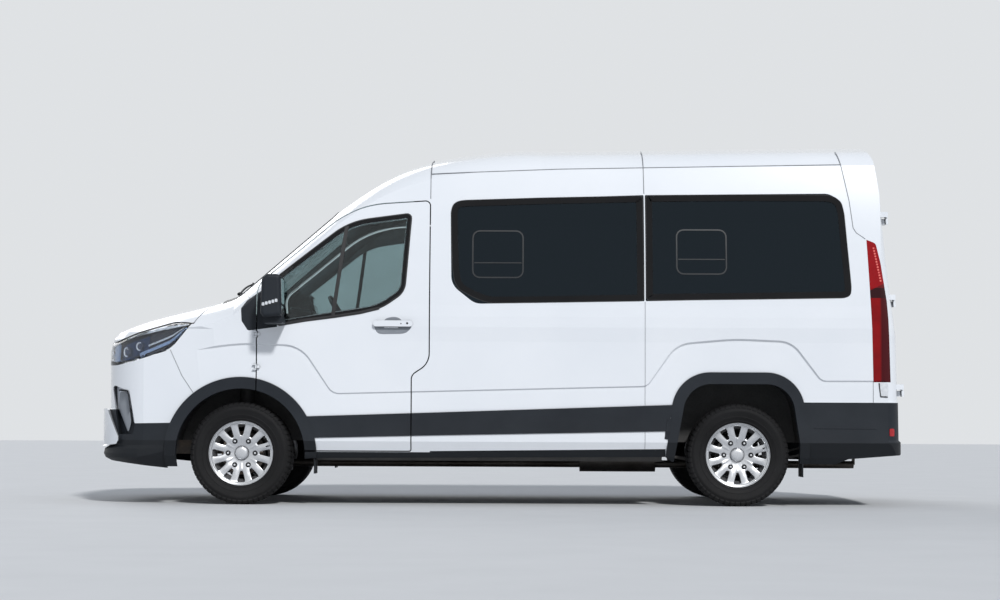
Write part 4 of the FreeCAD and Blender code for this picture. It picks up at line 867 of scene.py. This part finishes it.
def rim_piece(corner):
    centre, outward, _, _ = wheel_place(corner)
    at = wheel_axis(centre, outward)
    body = f"wheel_{corner}"
    bm = bmesh.new()
    rim_face(bm, at)
    face = from_bmesh(f"rim_face_{corner}", bm, ALLOY, body, sharp=60)
    modified(face, "SOLIDIFY", thickness=0.014, offset=-outward)
    modified(face, "SUBSURF", levels=1, render_levels=1)
    bm = bmesh.new()
    lathe(bm, BARREL_ROWS, at, 128, closed=True)
    barrel = from_bmesh(f"rim_barrel_{corner}", bm, ALLOY, body, sharp=40)
    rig.replaces(barrel, f"rim_{corner}")
    bm = bmesh.new()
    for k in range(OPENINGS):
        middle = 2 * math.pi * k / OPENINGS
        solid(bm, [[at(r, middle + aside, w + lift) for r, aside, lift in RIM_BAR] for w in (0.070, 0.0775)])
    bevelled(from_bmesh(f"rim_bars_{corner}", bm, BRIGHT, body), 0.0015)
    turned(f"wheel_cap_{corner}", CAP_ROWS, [at], 48, ALLOY, body, 60)
    places = [wheel_axis(at(NUT_CIRCLE, 2 * math.pi / NUTS * k, 0.0), outward) for k in range(NUTS)]
    turned(f"nut_wells_{corner}", WELL_ROWS, places, 24, BLACK, body, 30)
    turned(f"wheel_nuts_{corner}", NUT_ROWS, places, 6, BRIGHT, body, 30)
    valve = [at(0.190, VALVE_ANGLE, 0.070), at(0.176, VALVE_ANGLE, 0.092)]
    tube(f"valve_{corner}", valve, 0.0042, BLACK, body, closed=False)


for corner in WHEELS:
    tyre_piece(corner)
    rim_piece(corner)


# Windows

WAIST = [(-1.470, 1.216), (-1.300, 1.246), (-1.100, 1.272), (-0.930, 1.298), (-0.800, 1.330)]
DOOR_BAR = [(-1.112, 1.282), (-1.026, 1.895)]
SLIDERS = [((-0.172, 1.537), (0.178, 1.866)), ((1.212, 1.566), (1.557, 1.878))]
SLIDER_EDGE, SLIDER_RAIL_UP = 0.014, 0.105
SIDE_BORDERS = [
    [
        (-0.318, 2.005), (-0.306, 2.045), (-0.275, 2.068), (-0.232, 2.076), (0.30, 2.095), (0.990, 2.112),
        (0.992, 1.384), (0.30, 1.371), (-0.030, 1.366), (-0.080, 1.372), (-0.165, 1.405), (-0.262, 1.458),
        (-0.292, 1.512), (-0.306, 1.600), (-0.314, 1.800),
    ],
    [
        (1.008, 2.114), (1.60, 2.122), (2.240, 2.122), (2.300, 2.110), (2.346, 2.070), (2.362, 1.990),
        (2.376, 1.770), (2.398, 1.480), (2.392, 1.428), (2.350, 1.410), (1.70, 1.398), (1.008, 1.388),
    ],
]


def door_window(side):
    name = SIDE_NAME[side]
    body, pane = f"front_door_{name}", f"front_glass_{name}"
    on = side_caster(side, pane, body)
    line = outline(pane, (0, side, 0), on)
    seal(f"door_seal_{name}", on, line, 0.006, body)
    border_band(f"door_frit_{name}", on, line, 0.002, 0.026, 0.0008, FRIT, body)
    strip_on(f"door_bar_{name}", on, DOOR_BAR, 0.026, 0.003, SEAL, body)
    strip_on(f"door_waist_{name}", on, WAIST, 0.020, 0.004, SEAL, body)


def rounded(points, radius=0.012):
    """The closed line with its corners cut back three times."""
    for _ in range(3):
        made = []
        for a, b in zip(points, points[1:] + points[:1]):
            share = min(0.25, radius / math.dist(a, b))
            made += [between(a, b, share), between(b, a, share)]
        points = made
        radius *= 0.45
    return points


def bridged(on, reach=0.014):
    """A caster that spans the narrow grooves between panes and panels."""
    def over(a, b, proud=0.0):
        hits = []
        for spread in (reach, 2.5 * reach, 5 * reach):
            for da, db in ((0, 0), (spread, 0), (-spread, 0), (0, spread), (0, -spread)):
                try:
                    hits.append((on(a + da, b + db, proud), da, db))
                except ValueError:
                    continue
            if hits:
                break
        point, da, db = hits[0]
        level = max(hit.dot(on.out) for hit, _, _ in hits)
        return point - on.across * da - on.up * db + on.out * (level - point.dot(on.out))

    return over


def side_windows(side):
    name = SIDE_NAME[side]
    on = side_caster(side, "side_glass")
    middle_panel = "sliding_door" if side > 0 else "side_panel_left"
    skin = bridged(side_caster(side, "side_glass", "quarter_panels", middle_panel))
    for i, corners in enumerate(SIDE_BORDERS):
        line = rounded(corners)
        seal(f"side_seal_{name}_{i}", skin, line, 0.0025)
        border_band(f"side_frit_{name}_{i}", skin, line, 0.0, 0.045, 0.0008, FRIT)
    for i, (low, high) in enumerate(SLIDERS):
        line = rounded([low, (high[0], low[1]), high, (low[0], high[1])], radius=0.03)
        border_band(f"slider_frame_{name}_{i}", on, line, 0.0, 0.009, 0.003, SLIDER)
        z = low[1] + SLIDER_RAIL_UP
        bar = [(low[0] + SLIDER_EDGE, z), (high[0] - SLIDER_EDGE, z)]
        strip_on(f"slider_rail_{name}_{i}", on, bar, 0.008, 0.002, SLIDER)


def rear_window(side):
    name = SIDE_NAME[side]
    body, node = f"rear_door_{name}", f"rear_glass_{name}"
    pane = back_caster(node)
    line = outline(node, (1, 0, 0), pane)
    seal(f"rear_seal_{name}", back_caster(node, body), line, 0.005, body)
    border_band(f"rear_frit_{name}", pane, line, 0.003, 0.040, 0.0006, FRIT, body)


SCREEN_UP = Vector((0.755, 0, 0.656)).normalized()
SCREEN_OUT = Vector((-SCREEN_UP.z, 0, SCREEN_UP.x))
SCREEN_FOOT = Vector((-1.772, 0, 1.480))


def screen_caster(*names):
    return caster(tree_of(*names), SCREEN_FOOT, (0, 1, 0), SCREEN_UP, SCREEN_OUT)


def windscreen():
    on = screen_caster("windscreen")
    line = outline("windscreen", SCREEN_OUT, on)
    seal("screen_seal", screen_caster("windscreen", "cab_frame", "cowl", "wings"), line, 0.005)
    border_band("screen_frit", on, line, 0.004, 0.040, 0.0008, FRIT)
    patch("screen_sensor", on, (-0.09, 0.70), (0.09, 0.82), 0.0008, FRIT, soft=0.3)


def wipers():
    """Two arms with their blades, parked along the foot of the windscreen."""
    on = screen_caster("windscreen", "cowl", "cab_frame", "wings", "bonnet")
    for name, pivot, foot, tip in (
        ("left", (-0.60, -0.040), (-0.55, 0.075), (0.04, 0.050)),
        ("right", (0.08, -0.035), (0.14, 0.080), (0.72, 0.070)),
    ):
        blade = [on(*between(foot, tip, k / 16), 0.012) for k in range(17)]
        tube(f"wiper_blade_{name}", blade, 0.006, SEAL, closed=False)
        wedge = [p - SCREEN_OUT * 0.006 for p in blade]
        tube(f"wiper_rubber_{name}", wedge, 0.003, RUBBER, closed=False)
        middle = blade[8] + SCREEN_OUT * 0.010
        start = on(*pivot, 0.012)
        arm = []
        for k in range(7):
            arch = SCREEN_OUT * 0.012 * math.sin(math.pi * k / 6)
            arm.append(start + (middle - start) * k / 6 + arch)
        tube(f"wiper_arm_{name}", arm, 0.007, BLACK, closed=False)
        bm = bmesh.new()
        ball(bm, start, 0.020, 0.7, 20, Matrix.Identity(3))
        from_bmesh(f"wiper_pivot_{name}", bm, BLACK)


for side in (LEFT, RIGHT):
    door_window(side)
    side_windows(side)
    rear_window(side)
windscreen()
wipers()


# Headlamps: a clear outer lens over a black housing with light guides

LAMP_AXIS = (-2.12, 0.50)
LAMP_OUTWARD = 0.45
LAMP_WALL = 0.003
LAMP_DEPTH = 0.040
LAMP_STEPS = 28
LAMP_HEIGHTS = [z / 1000 for z in range(936, 1240, 4)]
LAMP_STRIPS = [
    ("top", 8, 96, (0.86, 0.78), (0.96, 0.90), 0.009, 0.010, GUIDE),
    ("low", 56, 94, (0.08, 0.30), (0.18, 0.44), 0.012, 0.010, PALE_BLUE),
    ("mid", 62, 93, (0.34, 0.52), (0.40, 0.60), 0.016, 0.010, GUIDE),
    ("bar", 29, 36, (0.08, 0.10), (0.80, 0.82), 0.009, 0.014, PALE_BLUE),
    ("front", 9, 13, (0.08, 0.08), (0.80, 0.80), 0.009, 0.014, GUIDE),
    ("reflector", 38, 62, (0.12, 0.16), (0.70, 0.70), 0.030, 0.006, BLUE),
]
PROJECTORS = [(20, 0.40, 0.032), (44, 0.40, 0.024), (55, 0.44, 0.020)]
PROJECTOR_DEPTH = 0.024


def lamp_way(point, side):
    way = Vector((point.x - LAMP_AXIS[0], point.y - side * LAMP_AXIS[1], 0))
    return way.normalized()


def lamp_sheet(side):
    """The outer faces of one headlamp, as a bmesh."""
    bm = bmesh.new()
    bm.from_mesh(NODES["headlamps"].data)
    bmesh.ops.remove_doubles(bm, verts=bm.verts, dist=MERGE)
    drop = []
    for face in bm.faces:
        middle = face.calc_center_median()
        if middle.y * side < 0 or face.normal.dot(lamp_way(middle, side)) < LAMP_OUTWARD:
            drop.append(face)
    bmesh.ops.delete(bm, geom=drop, context="FACES")
    bmesh.ops.subdivide_edges(bm, edges=[e for e in bm.edges if e.calc_length() > 0.04], cuts=2)
    return bm


def lamp_strip(name, on, bounds, start, end, low, high, depth, thick, finish):
    """A light guide inside the lamp: angles in degrees, heights as shares of the lamp's height."""
    rows = []
    for k in range(LAMP_STEPS + 1):
        t = k / LAMP_STEPS
        angle = start + (end - start) * t
        z0, z1 = bounds(angle)
        foot = z0 + (z1 - z0) * (low[0] + (low[1] - low[0]) * t)
        head = z0 + (z1 - z0) * (high[0] + (high[1] - high[0]) * t)
        corners = ((foot, depth + thick), (foot, depth), (head, depth), (head, depth + thick))
        rows.append([on(angle, z, -deep) for z, deep in corners])
    bm = bmesh.new()
    solid(bm, rows)
    return bevelled(from_bmesh(name, bm, finish), 0.0015)


def headlamp(side):
    name = SIDE_NAME[side]
    tree = tree_of("headlamps")
    axis = Vector((LAMP_AXIS[0], side * LAMP_AXIS[1], 0))

    def cast(angle, z):
        turn = math.radians(angle)
        way = Vector((-math.cos(turn), side * math.sin(turn), 0))
        hit, _, _, _ = tree.ray_cast(axis + way * 1.4 + Vector((0, 0, z)), -way, 1.3)
        return hit, way

    def bounds(angle):
        seen = [z for z in LAMP_HEIGHTS if cast(angle, z)[0] is not None]
        return seen[0] + 0.004, seen[-1] - 0.004

    def on(angle, z, proud=0.0):
        hit, way = cast(angle, z)
        if hit is None:
            hit = cast(angle, z - 0.006)[0] or cast(angle, z + 0.006)[0]
        return hit + way * proud

    lens = from_bmesh(f"headlamp_lens_{name}", lamp_sheet(side), LENS, sharp=60)
    modified(lens, "SOLIDIFY", thickness=LAMP_WALL, offset=-1)
    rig.slot(lens, "lamp_clear")
    bm = lamp_sheet(side)
    border = [[v.co.copy() for v in e.verts] for e in bm.edges if e.is_boundary]
    for vert in bm.verts:
        vert.co -= lamp_way(vert.co, side) * LAMP_DEPTH
    for a, b in border:
        corners = []
        for point, deep in ((a, LAMP_WALL), (b, LAMP_WALL), (b, LAMP_DEPTH), (a, LAMP_DEPTH)):
            corners.append(bm.verts.new(point - lamp_way(point, side) * deep))
        bm.faces.new(corners)
    bmesh.ops.remove_doubles(bm, verts=bm.verts, dist=MERGE)
    from_bmesh(f"headlamp_bowl_{name}", bm, LAMP_BLACK, sharp=40)
    for tag, *rest in LAMP_STRIPS:
        lamp_strip(f"lamp_{tag}_{name}", on, bounds, *rest)
    balls, bezels = bmesh.new(), bmesh.new()
    for angle, share, radius in PROJECTORS:
        z0, z1 = bounds(angle)
        z = z0 + (z1 - z0) * share
        at = on(angle, z, -PROJECTOR_DEPTH)
        turn = cast(angle, z)[1].to_track_quat("Z", "Y").to_matrix()
        ball(balls, at, radius, 0.5, 24, turn)
        inner, outer = radius + 0.002, radius + 0.009
        section = [(inner, -0.006), (inner, 0.004), (outer, 0.008), (outer, -0.006)]
        lathe(bezels, section, about(at, turn), 32, closed=True)
    from_bmesh(f"lamp_projectors_{name}", balls, LENS, sharp=60)
    from_bmesh(f"lamp_bezels_{name}", bezels, CHROME, sharp=40)
    return lens


lenses = [headlamp(side) for side in (LEFT, RIGHT)]
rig.replaces(lenses[0], "headlamps")


# Bumper corners: painted shade of a pocket, and its black edge

POCKET = [(-2.585, 0.762), (-2.520, 0.756), (-2.490, 0.548), (-2.512, 0.480), (-2.594, 0.650)]
POCKET_EDGE = [(-2.592, 0.772), (-2.512, 0.764), (-2.482, 0.548)]


def recess_shade_sheet(name, on, corners, body=BODY):
    """Painted shade: a grey sheet, 0.5 mm proud of the skin around it, that stands for the shaded floor of a finger
    recess or bumper pocket.
    """
    edge = rounded(corners)
    middle = (sum(a for a, _ in edge) / len(edge), sum(b for _, b in edge) / len(edge))
    profile = ((1.0, 0.0), (0.97, 0.0006), (0.7, 0.0005), (0.4, 0.0005))
    bm = bmesh.new()
    rings = sheet(bm, [[on(*between(middle, p, share), lift) for p in edge] for share, lift in profile])
    bm.faces.new(rings[-1])
    return from_bmesh(name, bm, RECESS_SHADE, body, sharp=60)


def bumper_corner(side):
    name = SIDE_NAME[side]
    on = bridged(side_caster(side, "front_bumper", "bumper_lower", "grille", "wings"))
    # Painted shade of the pocket at the bumper's corner.
    recess_shade_sheet(f"pocket_{name}", on, POCKET)
    strip_on(f"pocket_edge_{name}", on, POCKET_EDGE, 0.011, 0.002, BLACK)


# Rear lamps, reflectors, handles and locks

def tail_details(side):
    name = SIDE_NAME[side]
    on = side_caster(side, "rear_portal", "quarter_panels", "rear_bumper", "tail_lamps", "cladding")
    low, high = (2.583, 0.748), (2.640, 0.836)
    patch(f"reversing_lamp_{name}", on, low, high, 0.004, CLEAR_LAMP, soft=0.35, dome=0.002)
    edge = [(2.580, 0.836), (2.590, 0.745), (2.638, 0.742)]
    strip_on(f"reversing_edge_{name}", on, edge, 0.006, 0.005, SEAL)
    patch(f"reflector_{name}", on, (2.648, 0.478), (2.684, 0.530), 0.003, REFLEX, soft=0.3)
    for k in range(13):
        x, z = 2.553 + 0.0035 * k, 1.752 - 0.0185 * k
        patch(f"diode_{name}_{k}", on, (x - 0.006, z - 0.006), (x + 0.006, z + 0.006), 0.0015, LED, cells=4)
    strip_on(f"bumper_ridge_{name}", on, [(2.14, 0.532), (2.56, 0.530)], 0.009, 0.003, GREY)
    strip_on(f"arch_joint_{name}", bridged(on), [(1.164, 0.592), (1.146, 0.452)], 0.030, 0.003, GREY)


ROOF_SEAMS = {
    "cab": [(-0.458, 2.085), (-0.458, 2.430)],
    "middle": [(0.998, 2.125), (0.994, 2.455)],
    "gutter": [(-0.455, 2.262), (0.424, 2.298), (2.351, 2.337)],
    "corner": [
        (2.330, 2.440), (2.351, 2.337), (2.398, 2.082), (2.419, 1.892), (2.439, 1.859), (2.500, 1.816),
    ],
}


# Painted shadow: thin grey strips, 0.4 mm proud, along the roof seams and the gutter, where their grooves are shaded.
def roof_seam_shadows(side):
    nodes = ["roof", "cab_frame", "quarter_panels", "rear_portal"]
    nodes.append("side_frame_right" if side > 0 else "side_panel_left")
    on = bridged(side_caster(side, *nodes), 0.008)
    for tag, line in ROOF_SEAMS.items():
        strip_on(f"seam_shadow_{tag}_{SIDE_NAME[side]}", on, line, 0.0045, 0.0004, SEAM_SHADOW, steps=16)


REAR_HANDLE_AT = (0.075, 1.19)


def rear_handle():
    on = back_caster("rear_door_right", "rear_door_left")
    door = "rear_door_right"
    patch("rear_handle_cup", on, (0.050, 1.150), (0.215, 1.235), 0.0015, BLACK, door, soft=0.3, dome=-0.001)
    x = on(*REAR_HANDLE_AT).x
    block("rear_handle_bar", (x - 0.004, 0.066, 1.180), (x + 0.016, 0.200, 1.204), BLACK, 0.005, body=door)
    for side, name in SIDE_NAME.items():
        crease = [(side * 0.08, 1.315), (side * 0.80, 1.315)]
        strip_on(f"rear_crease_{name}", on, crease, 0.006, 0.0005, PAINT, f"rear_door_{name}")


HANDLE_CLEAR_X = -0.90
HANDLE_CUPS = {
    "low": [
        (-0.838, 1.212), (-0.812, 1.160), (-0.780, 1.153), (-0.640, 1.156), (-0.605, 1.168), (-0.574, 1.212),
    ],
    "high": [
        (-0.770, 1.240), (-0.752, 1.262), (-0.708, 1.272), (-0.668, 1.268), (-0.648, 1.250), (-0.645, 1.240),
    ],
}
HANDLE_LIP = [(-0.764, 1.199), (-0.668, 1.199)]


def behind(clear):
    """A caster onto the door's skin that ignores the handle, from the skin's shape ahead of it."""
    return lambda a, b, proud=0.0: clear(HANDLE_CLEAR_X, b, proud) + Vector((a - HANDLE_CLEAR_X, 0, 0))


def front_handle(side):
    name = SIDE_NAME[side]
    body = f"front_door_{name}"
    on = side_caster(side, body)
    skin_on = behind(on)
    # Painted shade for the finger recesses of the handle.
    for tag, shape in HANDLE_CUPS.items():
        recess_shade_sheet(f"handle_cup_shade_{tag}_{name}", skin_on, shape, body)
    strip_on(f"handle_lip_{name}", skin_on, HANDLE_LIP, 0.008, 0.006, PAINT, body)
    for i, x in enumerate((-0.650, -0.608)):
        low, high = (x - 0.004 - 0.003 * i, 1.220), (x + 0.004 + 0.003 * i, 1.228 + 0.006 * i)
        patch(f"keyhole_{name}_{i}", on, low, high, 0.001, BLACK, body, soft=0.9, cells=6)


def mirror_details(side):
    name = SIDE_NAME[side]
    body, node = f"front_door_{name}", f"door_trim_{name}"
    on = side_caster(side, node, plane=1.35)
    for k in range(5):
        x, z = -1.553 + 0.0215 * k, 1.340 + 0.006 * k
        low, high = (x - 0.009, z - 0.011), (x + 0.009, z + 0.011)
        patch(f"mirror_lamp_{name}_{k}", on, low, high, 0.002, CLEAR_LAMP, body, cells=6)
    strip_on(f"mirror_joint_{name}", on, [(-1.560, 1.322), (-1.450, 1.352)], 0.004, 0.0008, SEAL, body)
    back = back_caster(node, plane=-1.30)
    near, far = sorted((side * 1.112, side * 1.286))
    patch(f"mirror_glass_{name}", back, (near, 1.345), (far, 1.515), 0.001, MIRROR, body, soft=0.25)
    patch(f"mirror_lower_glass_{name}", back, (near, 1.282), (far, 1.330), 0.001, MIRROR, body, soft=0.25)


for side in (LEFT, RIGHT):
    roof_seam_shadows(side)
    bumper_corner(side)
    tail_details(side)
    front_handle(side)
    mirror_details(side)
rear_handle()


# Cabin: benches with crowned cushions, backs and head restraints

FLOOR_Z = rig.box("seats")[0].z
PLACE_WIDTH = 0.48
BENCHES = [
    (-1.120, -0.760, -0.240),
    (-1.120, 0.010, 0.760),
    (-0.040, -0.900, 0.300),
    (0.640, -0.620, 0.300),
    (1.480, -0.620, 0.620),
]
CROWN = 0.25


def pad(name, middle, span, lean, channels):
    """A stuffed form: crowned faces, sides that pull in between the corners, sewn channels across."""
    bm = bmesh.new()
    bmesh.ops.create_cube(bm, size=2.0)
    bmesh.ops.subdivide_edges(bm, edges=bm.edges[:], cuts=9, use_grid_fill=True)
    turn = Matrix.Rotation(lean, 3, "Y")
    middle, span = Vector(middle), Vector(span)
    for vert in bm.verts:
        u, v, w = vert.co
        round_u = u * math.sqrt(1 - 0.30 * v * v / 2 - 0.30 * w * w / 2 + 0.03 * v * v * w * w)
        round_v = v * math.sqrt(1 - 0.16 * u * u / 2 - 0.30 * w * w / 2 + 0.02 * u * u * w * w)
        fill = (1 - u ** 4) * (1 - v ** 4)
        sewn = sum(math.exp(-((u - at) / 0.06) ** 2) for at in channels)
        round_w = w * (1 - CROWN + CROWN * fill - 0.10 * sewn)
        pull = 1 - 0.035 * (1 - w * w)
        place = Vector((round_u * pull * span.x, round_v * pull * span.y, round_w * span.z)) / 2
        vert.co = middle + turn @ place
    made = from_bmesh(name, bm, FABRIC, sharp=180)
    modified(made, "SUBSURF", levels=1, render_levels=1)
    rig.slot(made, "seat_fabric")
    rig.padded(made, fill=0.85)
    return made


def bench(index, x, y0, y1):
    places = max(1, round((y1 - y0) / PLACE_WIDTH))
    width = (y1 - y0) / places
    for i in range(places):
        y = y0 + width * (i + 0.5)
        tag = f"{index}_{i}"
        for part, dx, dz, span, lean, channels in (
            ("cushion", 0.235, 0.325, (0.53, width - 0.012, 0.135), -7, (-0.35, 0.35)),
            ("back", 0.605, 0.640, (0.600, width - 0.03, 0.120), -78, (-0.1, 0.45)),
            ("head", 0.706, 1.040, (0.170, 0.235, 0.078), -82, ()),
        ):
            pad(f"seat_{part}_{tag}", (x + dx, y, FLOOR_Z + dz), span, math.radians(lean), channels)
        for letter, aside in (("a", -0.05), ("b", 0.05)):
            rod = [(x + 0.700, y + aside, FLOOR_Z + 0.90), (x + 0.706, y + aside, FLOOR_Z + 0.99)]
            tube(f"seat_post_{tag}_{letter}", rod, 0.006, CHROME, closed=False)
    bm = bmesh.new()
    for y in (y0 + 0.05, y1 - 0.05):
        for dx in (0.03, 0.46):
            cuboid(bm, (x + dx, y - 0.02, FLOOR_Z), (x + dx + 0.04, y + 0.02, FLOOR_Z + 0.262))
        cuboid(bm, (x, y - 0.022, FLOOR_Z + 0.235), (x + 0.50, y + 0.022, FLOOR_Z + 0.265))
        cuboid(bm, (x, y - 0.028, FLOOR_Z), (x + 0.53, y + 0.028, FLOOR_Z + 0.014))
    cuboid(bm, (x + 0.46, y0 + 0.03, FLOOR_Z + 0.24), (x + 0.50, y1 - 0.03, FLOOR_Z + 0.272))
    return bevelled(from_bmesh(f"seat_frame_{index}", bm, STEEL), 0.004)


frames = [bench(i, *row) for i, row in enumerate(BENCHES)]
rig.replaces(frames[0], "seats")


def cockpit():
    """Dials' hood, screen, vents and the steering wheel's airbag cover."""
    block("dial_hood", (-1.45, -0.66, 1.262), (-1.285, -0.28, 1.345), BLACK, 0.02, 8)
    block("centre_screen", (-1.33, -0.12, 1.25), (-1.305, 0.15, 1.40), FRIT, 0.006, -14)
    bm = bmesh.new()
    for y in (-0.84, -0.20, 0.22, 0.84):
        for k in range(5):
            z = 1.13 + 0.016 * k
            cuboid(bm, (-1.268, y - 0.055, z), (-1.246, y + 0.055, z + 0.006), Matrix.Rotation(0.35, 3, "Y"))
    from_bmesh("vent_slats", bm, BLACK)
    low, high = (-1.110, -0.555, 1.200), (-1.050, -0.385, 1.330)
    block("airbag_cover", low, high, BLACK, 0.02, -30, segments=4)


cockpit()

# Stage, light and camera

world = bpy.data.worlds.new("studio")
bpy.context.scene.world = world
world.use_nodes = True
sky = world.node_tree
background = sky.nodes["Background"]
background.inputs["Strength"].default_value = 1.0
rays = add_node(sky, "ShaderNodeLightPath")
seen = math_node(sky, "MAXIMUM", rays.outputs["Is Camera Ray"], rays.outputs["Is Transmission Ray"])
seen = math_node(sky, "MAXIMUM", seen, rays.outputs["Is Glossy Ray"])
sky.links.new(mixed(sky, seen, (0.255, 0.285, 0.335), (0.74, 0.76, 0.78)), background.inputs["Color"])

FLOOR_HALF = 40.0
bpy.ops.mesh.primitive_plane_add(size=2 * FLOOR_HALF, location=(0, 0, 0))
ground = bpy.context.object
ground.name = "floor_plane"
ground_finish, tree, shader = new_material("pale_floor", Roughness=0.85)
set_colour(tree, shader, noise(tree, 2.0), (0.60, 0.61, 0.62), (0.66, 0.67, 0.68))
ground.data.materials.append(ground_finish)
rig.stage(ground)


def sun(name, strength, direction, angle):
    lamp = bpy.data.lights.new(name, "SUN")
    lamp.energy = strength
    lamp.angle = math.radians(angle)
    holder = bpy.data.objects.new(name, lamp)
    holder.rotation_mode = "QUATERNION"
    holder.rotation_quaternion = Vector(direction).to_track_quat("-Z", "Y")
    bpy.context.collection.objects.link(holder)


sun("key", 2.36, (-0.38, 1.0, -0.85), 6)
sun("fill", 0.7, (0.5, -0.9, -0.55), 40)

# The camera stands 0.58 m above the ground and 14.5 m off the near wheels, nearly square to the side.
CAMERA_AT = (0.066, -15.48, 0.5776)
PITCH = math.radians(3.21)
YAW = math.radians(0.19)
ROLL = math.radians(0.24)
lens = bpy.data.cameras.new("camera")
lens.sensor_width = 36
lens.lens = 77.0
lens.clip_end = 200
camera = bpy.data.objects.new("camera", lens)
camera.location = CAMERA_AT
facing = Matrix.Rotation(YAW, 4, "Z") @ Matrix.Rotation(math.radians(90) + PITCH, 4, "X")
camera.matrix_world = Matrix.Translation(CAMERA_AT) @ facing @ Matrix.Rotation(ROLL, 4, "Z")
bpy.context.collection.objects.link(camera)
bpy.context.scene.camera = camera
bpy.context.scene.view_settings.view_transform = "Standard"

new_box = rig.bounds()
with open("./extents.json", "w") as out:
    json.dump({"cad": [list(v) for v in cad_box], "scene": [list(v) for v in new_box]}, out)
